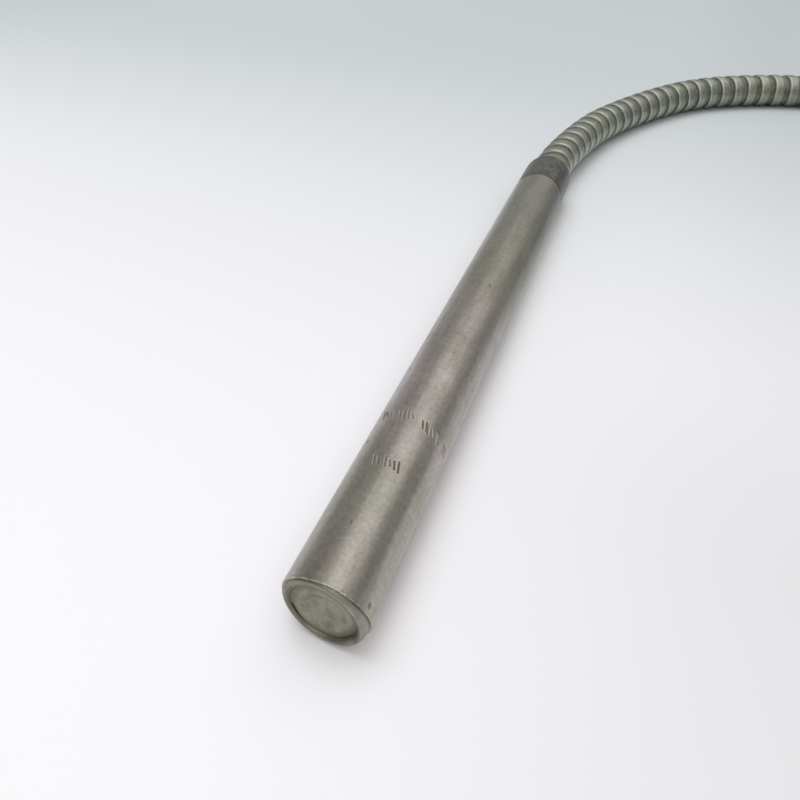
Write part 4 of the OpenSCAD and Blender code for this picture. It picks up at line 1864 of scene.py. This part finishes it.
@dataclass
class ClosingDisc:
    """The disc that closes the sheath: dished, a little tilted, with a gap round it.

    Sizes in millimetres.
    """

    axis_z: float
    back_x: float
    seat_r: float
    face_x: float = -82.62
    tilt: float = 0.155
    face_r: float = 5.88
    dish_r: float = 3.9
    dish_depth: float = 0.38
    moat: float = 0.48
    shift: Span = (-0.09, -0.02)
    gap: Span = (0.12, 0.85)
    gap_at: float = 2.15
    gap_wide: float = 0.38
    rim_l: float = 0.9
    steps: int = 96

    def build(self, finish: Finish) -> bpy.types.Object:
        """Makes the disc.

        Args:
            finish: the finish.

        Returns:
            The disc.
        """
        r, d, dish, rim = self.face_r, self.dish_depth, self.dish_r, self.rim_l
        rise = np.linspace(0.12, 1, 8)
        outline = [(d, 0.0)]
        outline += [(d, q) for q in np.linspace(0.3, dish - rim, 12)]
        outline += [(d * (1 - t) ** 1.5 * (1 + 0.5 * t), dish - rim + rim * t) for t in rise]
        outline += [(-0.06, dish + 0.25), (-0.04, dish + 0.6)]
        outline += arc((0.34, r - 0.5), (0.38, 0.5), 180, 90, 8)
        outline += [(self.moat, r + 0.02), (self.moat, self.seat_r)]
        steps = self.steps
        points, _ = turned(outline, steps)
        grid = points.reshape(len(outline), steps, 3)
        rough = np.random.default_rng(7)
        waves = [(rough.uniform(0.05, 0.09), rough.uniform(0, TAU), k) for k in (2, 3, 5)]
        angle, out = round_axis(grid)
        lift = sum(a * np.sin(k * angle + p) for a, p, k in waves) * np.clip(out / r, 0, 1) ** 2
        low, high = self.gap
        gap = low + high * np.exp(-(((angle - self.gap_at) / self.gap_wide) ** 2))
        grid[..., 0] *= np.where(out > dish + 0.7, gap, 1.0)
        face = out <= r
        grid[..., 0] += self.face_x + self.tilt * grid[..., 2] + np.where(face, lift * 0.8, 0.0)
        grid[..., 1] += np.where(face, self.shift[0], 0.0)
        grid[..., 2] += np.where(face, self.shift[1], 0.0) + self.axis_z
        back, _ = turned([(self.back_x, self.seat_r)], steps)
        back[:, 2] += self.axis_z
        points = np.vstack([grid.reshape(-1, 3), back, [[self.back_x, 0, self.axis_z]]])
        faces = ring_faces(len(outline) + 1, steps).tolist()
        first = len(outline) * steps
        faces += [[first + i, first + (i + 1) % steps, first + steps] for i in range(steps)]
        return piece("closing_disc", points * MM, faces, finish, sharp=40)


@dataclass
class Coupling:
    """The dark coupling between the sheath and the hose. Sizes in millimetres."""

    axis_z: float
    seam_x: float
    exit_x: float
    radius: float = 7.785
    shoulder_r: float = 1.3
    hose_r: float = 6.35
    fit: float = 0.04
    pocket_l: float = 4.0
    steps: int = 128

    def build(self, finish: Finish) -> bpy.types.Object:
        """Makes the coupling.

        Args:
            finish: the finish.

        Returns:
            The coupling.
        """
        r, s, seam, end = self.radius, self.shoulder_r, self.seam_x, self.exit_x
        bore, pocket = self.hose_r + self.fit, seam + self.pocket_l
        outline = [(seam + 0.02, r - 0.9), (seam + 0.02, r - 0.22)]
        outline += [(seam + 0.14, r - 0.06), (seam + 0.32, r)]
        outline += [(x, r) for x in np.linspace(seam + 1.0, end - s, 24)]
        outline += arc((end - s, r - s), (s, s), 90, 8, 10)
        outline += [(end, bore + 0.12), (end - 0.15, bore), (pocket, bore), (pocket, r - 0.9)]
        points, _ = turned(outline, self.steps)
        points[:, 2] += self.axis_z
        faces = ring_faces(len(outline), self.steps, closed=True)
        return piece("coupling_body", points * MM, faces, finish)


class HeatingCore:
    """The CAD pieces inside the heater: each keeps its shape and gets its own finish."""

    ceramic = Stone("fired_ceramic", (0.86, 0.82, 0.74), 0.25 * MM, 0.62, 0.012)
    powder = Stone("pressed_magnesia", (0.90, 0.89, 0.85), 0.4 * MM, 0.9, 0.05)
    cement = Stone("sealing_cement", (0.75, 0.72, 0.66), 0.5 * MM, 0.88, 0.08)
    wire = DrawnMetal("resistance_wire", (0.34, 0.31, 0.28), (0.12, 0.10, 0.09), 0.4, 0.8)
    pin = DrawnMetal("pin_metal", (0.62, 0.60, 0.55), (0.40, 0.36, 0.28), 0.28, 0.4)
    cover = GlassBraid("glass_sleeve")

    def finishes(self) -> dict[str, Finish]:
        """The finish of each node.

        Returns:
            The finishes, by the node's name.
        """
        found: dict[str, Finish] = {
            "base_insulator": self.ceramic,
            "lead_insulator": self.ceramic,
            "fill": self.powder,
            "winding": self.wire,
            "seal": self.cement,
        }
        found |= {f"core_{n}": self.powder for n in range(1, 5)}
        found |= {name: self.pin for name in ("pin_short", "pin_long", "crimp_short", "crimp_long")}
        found |= {name: self.cover for name in ("sleeve_short", "sleeve_long")}
        return found

    def dress(self) -> None:
        """Gives each node its finish."""
        for name, finish in self.finishes().items():
            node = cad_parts[name]
            if not node.material_slots:
                node.data.materials.append(finish.material())
            for holder in node.material_slots:
                holder.material = finish.material()
            LOG.info("dressed %s with %s", name, finish.name)


@dataclass(frozen=True)
class PaleTable(Finish):
    """A plain, pale, matte table."""

    tone: Colour = (0.945, 0.935, 0.965)
    cool: Colour = (0.575, 0.62, 0.64)

    def feeds(self, graph: Graph) -> dict[str, Any]:
        """One pale tone with painted shade: a little darker and cooler away from the closed end,
        and darker towards -Y.

        Args:
            graph: the material's tree.

        Returns:
            The shader's inputs, by socket name.
        """
        place = graph.place()
        x, y, _ = place.parts()
        cloud = graph.noise(place, 3.0, 1.0, 0.5).spread(0.98, 1.0)
        # Painted shade: the table is made darker and cooler away from the closed end.
        colour = graph.mix(self.tone, self.cool, x.ramp(-0.12, 0.26))
        # Painted shade: darker towards -Y, most near the closed end.
        right = 1.0 - 0.10 * y.ramp(0.02, -0.06) * x.ramp(0.02, -0.05) - 0.05 * y.ramp(-0.03, -0.09)
        return {
            "Base Color": graph.times(colour, cloud * right),
            "Roughness": 0.9,
            "Specular IOR Level": 0.1,
        }


@dataclass
class Studio:
    """The table, the soft light round it and one soft lamp."""

    table_size: float = 6.0
    table_t: float = 0.02
    room: Colour = (0.305, 0.303, 0.29)
    room_left: Colour = (0.455, 0.45, 0.432)
    window: Colour = (1.26, 1.23, 1.205)
    shown: Colour = (0.86, 0.86, 0.89)
    window_left: Span = (0.44, 0.06)
    window_right: Span = (-0.92, -0.50)
    window_far: Span = (0.99, 0.57)
    lamp_at: tuple[float, float, float] = (0.10, 0.25, 0.95)
    lamp_size: float = 0.75
    lamp_power: float = 4.0
    lamp_tone: Colour = (0.95, 0.97, 1.0)

    def table(self) -> None:
        """The table, a flat plate with its top at z = 0."""
        half = self.table_size / 2
        square = [(-half, -half), (half, -half), (half, half), (-half, half)]
        corners = [(x, y, z) for z in (-self.table_t, 0.0) for x, y in square]
        faces = [(0, 1, 2, 3), (4, 5, 6, 7), (0, 1, 5, 4), (1, 2, 6, 5), (2, 3, 7, 6), (3, 0, 4, 7)]
        piece("table_top", np.array(corners), faces, PaleTable("pale_table"))

    def world(self) -> None:
        """Soft light: a dim room under a long pale window overhead, along the sheath."""
        world = bpy.data.worlds.new("studio")
        world.use_nodes = True
        world.node_tree.nodes.clear()
        graph = Graph(world.node_tree)
        way = graph.arrow("ShaderNodeTexCoord", {}, {}, "Generated")
        x, y, z = way.parts()
        lean = y / (y * y + z * z + 1e-6) ** 0.5
        narrow = lean - x.ramp(0.40, 0.62, 0.10, 0.0)
        wide = lean.ramp(*self.window_left) * narrow.ramp(*self.window_right)
        share = wide * x.ramp(*self.window_far) * z.ramp(0.0, 0.15)
        room = graph.mix(self.room, self.room_left, lean.ramp(0.0, 0.4) * x.ramp(0.38, 0.60))
        light = graph.mix(room, self.window, share)
        seen = graph.value("ShaderNodeLightPath", {}, {}, "Is Camera Ray")
        seen = seen + graph.value("ShaderNodeLightPath", {}, {}, "Is Transmission Ray")
        colour = graph.mix(light, self.shown, seen.within())
        back = graph.node("ShaderNodeBackground", {}, {"Color": colour, "Strength": 1.0})
        graph.node("ShaderNodeOutputWorld", {}, {"Surface": back.outputs[0]})
        bpy.context.scene.world = world

    def lamp(self) -> None:
        """One large soft lamp, up and to the far left."""
        data = bpy.data.lights.new("soft_lamp", "AREA")
        data.shape = "DISK"
        data.size = self.lamp_size
        data.energy = self.lamp_power
        data.color = self.lamp_tone
        lamp = linked("soft_lamp", data)
        lamp.location = self.lamp_at
        lamp.rotation_mode = "QUATERNION"
        lamp.rotation_quaternion = (-Vector(self.lamp_at)).to_track_quat("-Z", "Y")
        lamp.visible_camera = False
        lamp.visible_glossy = False

    def build(self) -> None:
        """Sets the whole studio up."""
        self.table()
        self.world()
        self.lamp()
        bpy.context.scene.view_settings.view_transform = "Standard"


# How each lead lies: x past the bushing, the bend aside and the lift off the table, in mm.
LEFT_STEPS = (
    (4, 0.3, 6.1), (7.9, 1.2, 5.6), (11.6, 2.7, 4.7), (15, 4.7, 3.6), (18.1, 7.3, 2.5),
    (20.8, 10.2, 1.5), (22.9, 13.7, 0.8), (24.5, 17.4, 0.3), (25.5, 21.3, 0), (26, 25.3, 0),
    (25.9, 29.3, 0.2), (25.2, 33.2, 0.7),
)
RIGHT_STEPS = (
    (4, 0.2, 6.1), (7.9, 0.8, 5.6), (11.8, 1.8, 4.7), (15.6, 3.2, 3.6), (19.2, 4.9, 2.5),
    (22.6, 7, 1.5), (25.8, 9.4, 0.8), (28.7, 12.1, 0.3), (31.3, 15.1, 0), (33.7, 18.4, 0),
    (35.6, 21.9, 0.2), (37.3, 25.6, 0.7),
)


def settle(made: bpy.types.Object, slot: Slot, *nodes: str) -> bpy.types.Object:
    """Fixes a piece to the object and says which nodes it stands for.

    Args:
        made: the piece.
        slot: the record's slot for the piece; it is not used.
        nodes: the CAD nodes that it replaces.

    Returns:
        The piece.
    """
    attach(made, "root")
    if nodes:
        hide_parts(*nodes)
    count = len(made.data.polygons)
    LOG.info("%s: %d faces, for %s", made.name, count, ", ".join(nodes) or "no node")
    return made


def lay_cords(route: HoseRoute) -> None:
    """Makes the hose, its ties and end, and the leads with their terminals.

    Args:
        route: the hose's way.
    """
    nylon = MouldedPlastic("natural_nylon", (0.80, 0.79, 0.72), (0.68, 0.66, 0.58), 0.42)
    plated = DrawnMetal("plated_steel", (0.56, 0.55, 0.51), (0.34, 0.31, 0.25), 0.30, 0.5)
    nickel = DrawnMetal("nickel_plate", (0.68, 0.65, 0.59), (0.48, 0.43, 0.34), 0.26, 0.4)
    red = MouldedPlastic("red_plastic", (0.42, 0.05, 0.035), (0.30, 0.05, 0.04), 0.5)
    hose = ArmourHose(route).build(StripSteel("strip_steel"))
    settle(hose, Slot.HOSE, "hose", "hose_coil")
    for name, node, share in (("tie_near", "tie_first", 0.2), ("tie_far", "tie_second", 0.8)):
        settle(CableTie(name, node, share, route).build(nylon), Slot.TIE, node)
    end = HoseEnd(route)
    ferrule = settle(end.ferrule(plated), Slot.FERRULE, "ferrule")
    bushing = settle(end.bushing(red), Slot.BUSHING, "bushing")
    route.exit()
    for name, side, steps in (("left", -1.0, LEFT_STEPS), ("right", 1.0, RIGHT_STEPS)):
        lead = Lead(name, route, side, steps)
        cover = settle(lead.build(GlassBraid("glass_braid")), Slot.COVER, f"lead_{name}")
        terminal = settle(RingTerminal(lead).build(nickel), Slot.TERMINAL, f"terminal_{name}")
        LOG.info("lead %s is %.1f mm long", name, length_of(lead.points) / MM)


def main() -> None:
    """Builds the camera, the cords, the heater and the studio, in that order."""
    logging.basicConfig(level=logging.INFO, format="%(message)s")
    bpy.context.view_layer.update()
    camera = PhotoCamera()
    camera.build()
    lay_cords(HoseRoute())
    low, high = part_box("sheath")
    radius = (high.z - low.z) / 2 / MM
    axis_z = (high.z + low.z) / 2 / MM
    seam_x = round(high.x / MM, 3)
    sheath = Sheath(camera, radius, axis_z, low.x / MM, seam_x)
    steel = GroundSteel("ground_steel", axis_z * MM, sheath.edge_x * MM, seam_x * MM)
    settle(sheath.build(steel), Slot.SHEATH, "sheath")
    disc = ClosingDisc(axis_z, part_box("end_disc")[1].x / MM, radius - sheath.wall - DISC_FIT)
    settle(disc.build(TintedWeld("tinted_weld", axis_z * MM)), Slot.WELD, "end_disc")
    coupling = Coupling(axis_z, seam_x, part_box("coupling")[1].x / MM)
    settle(coupling.build(DarkSteel("dark_steel", seam_x * MM)), Slot.COUPLING, "coupling")
    HeatingCore().dress()
    Studio().build()


if __name__ == "__main__":
    main()
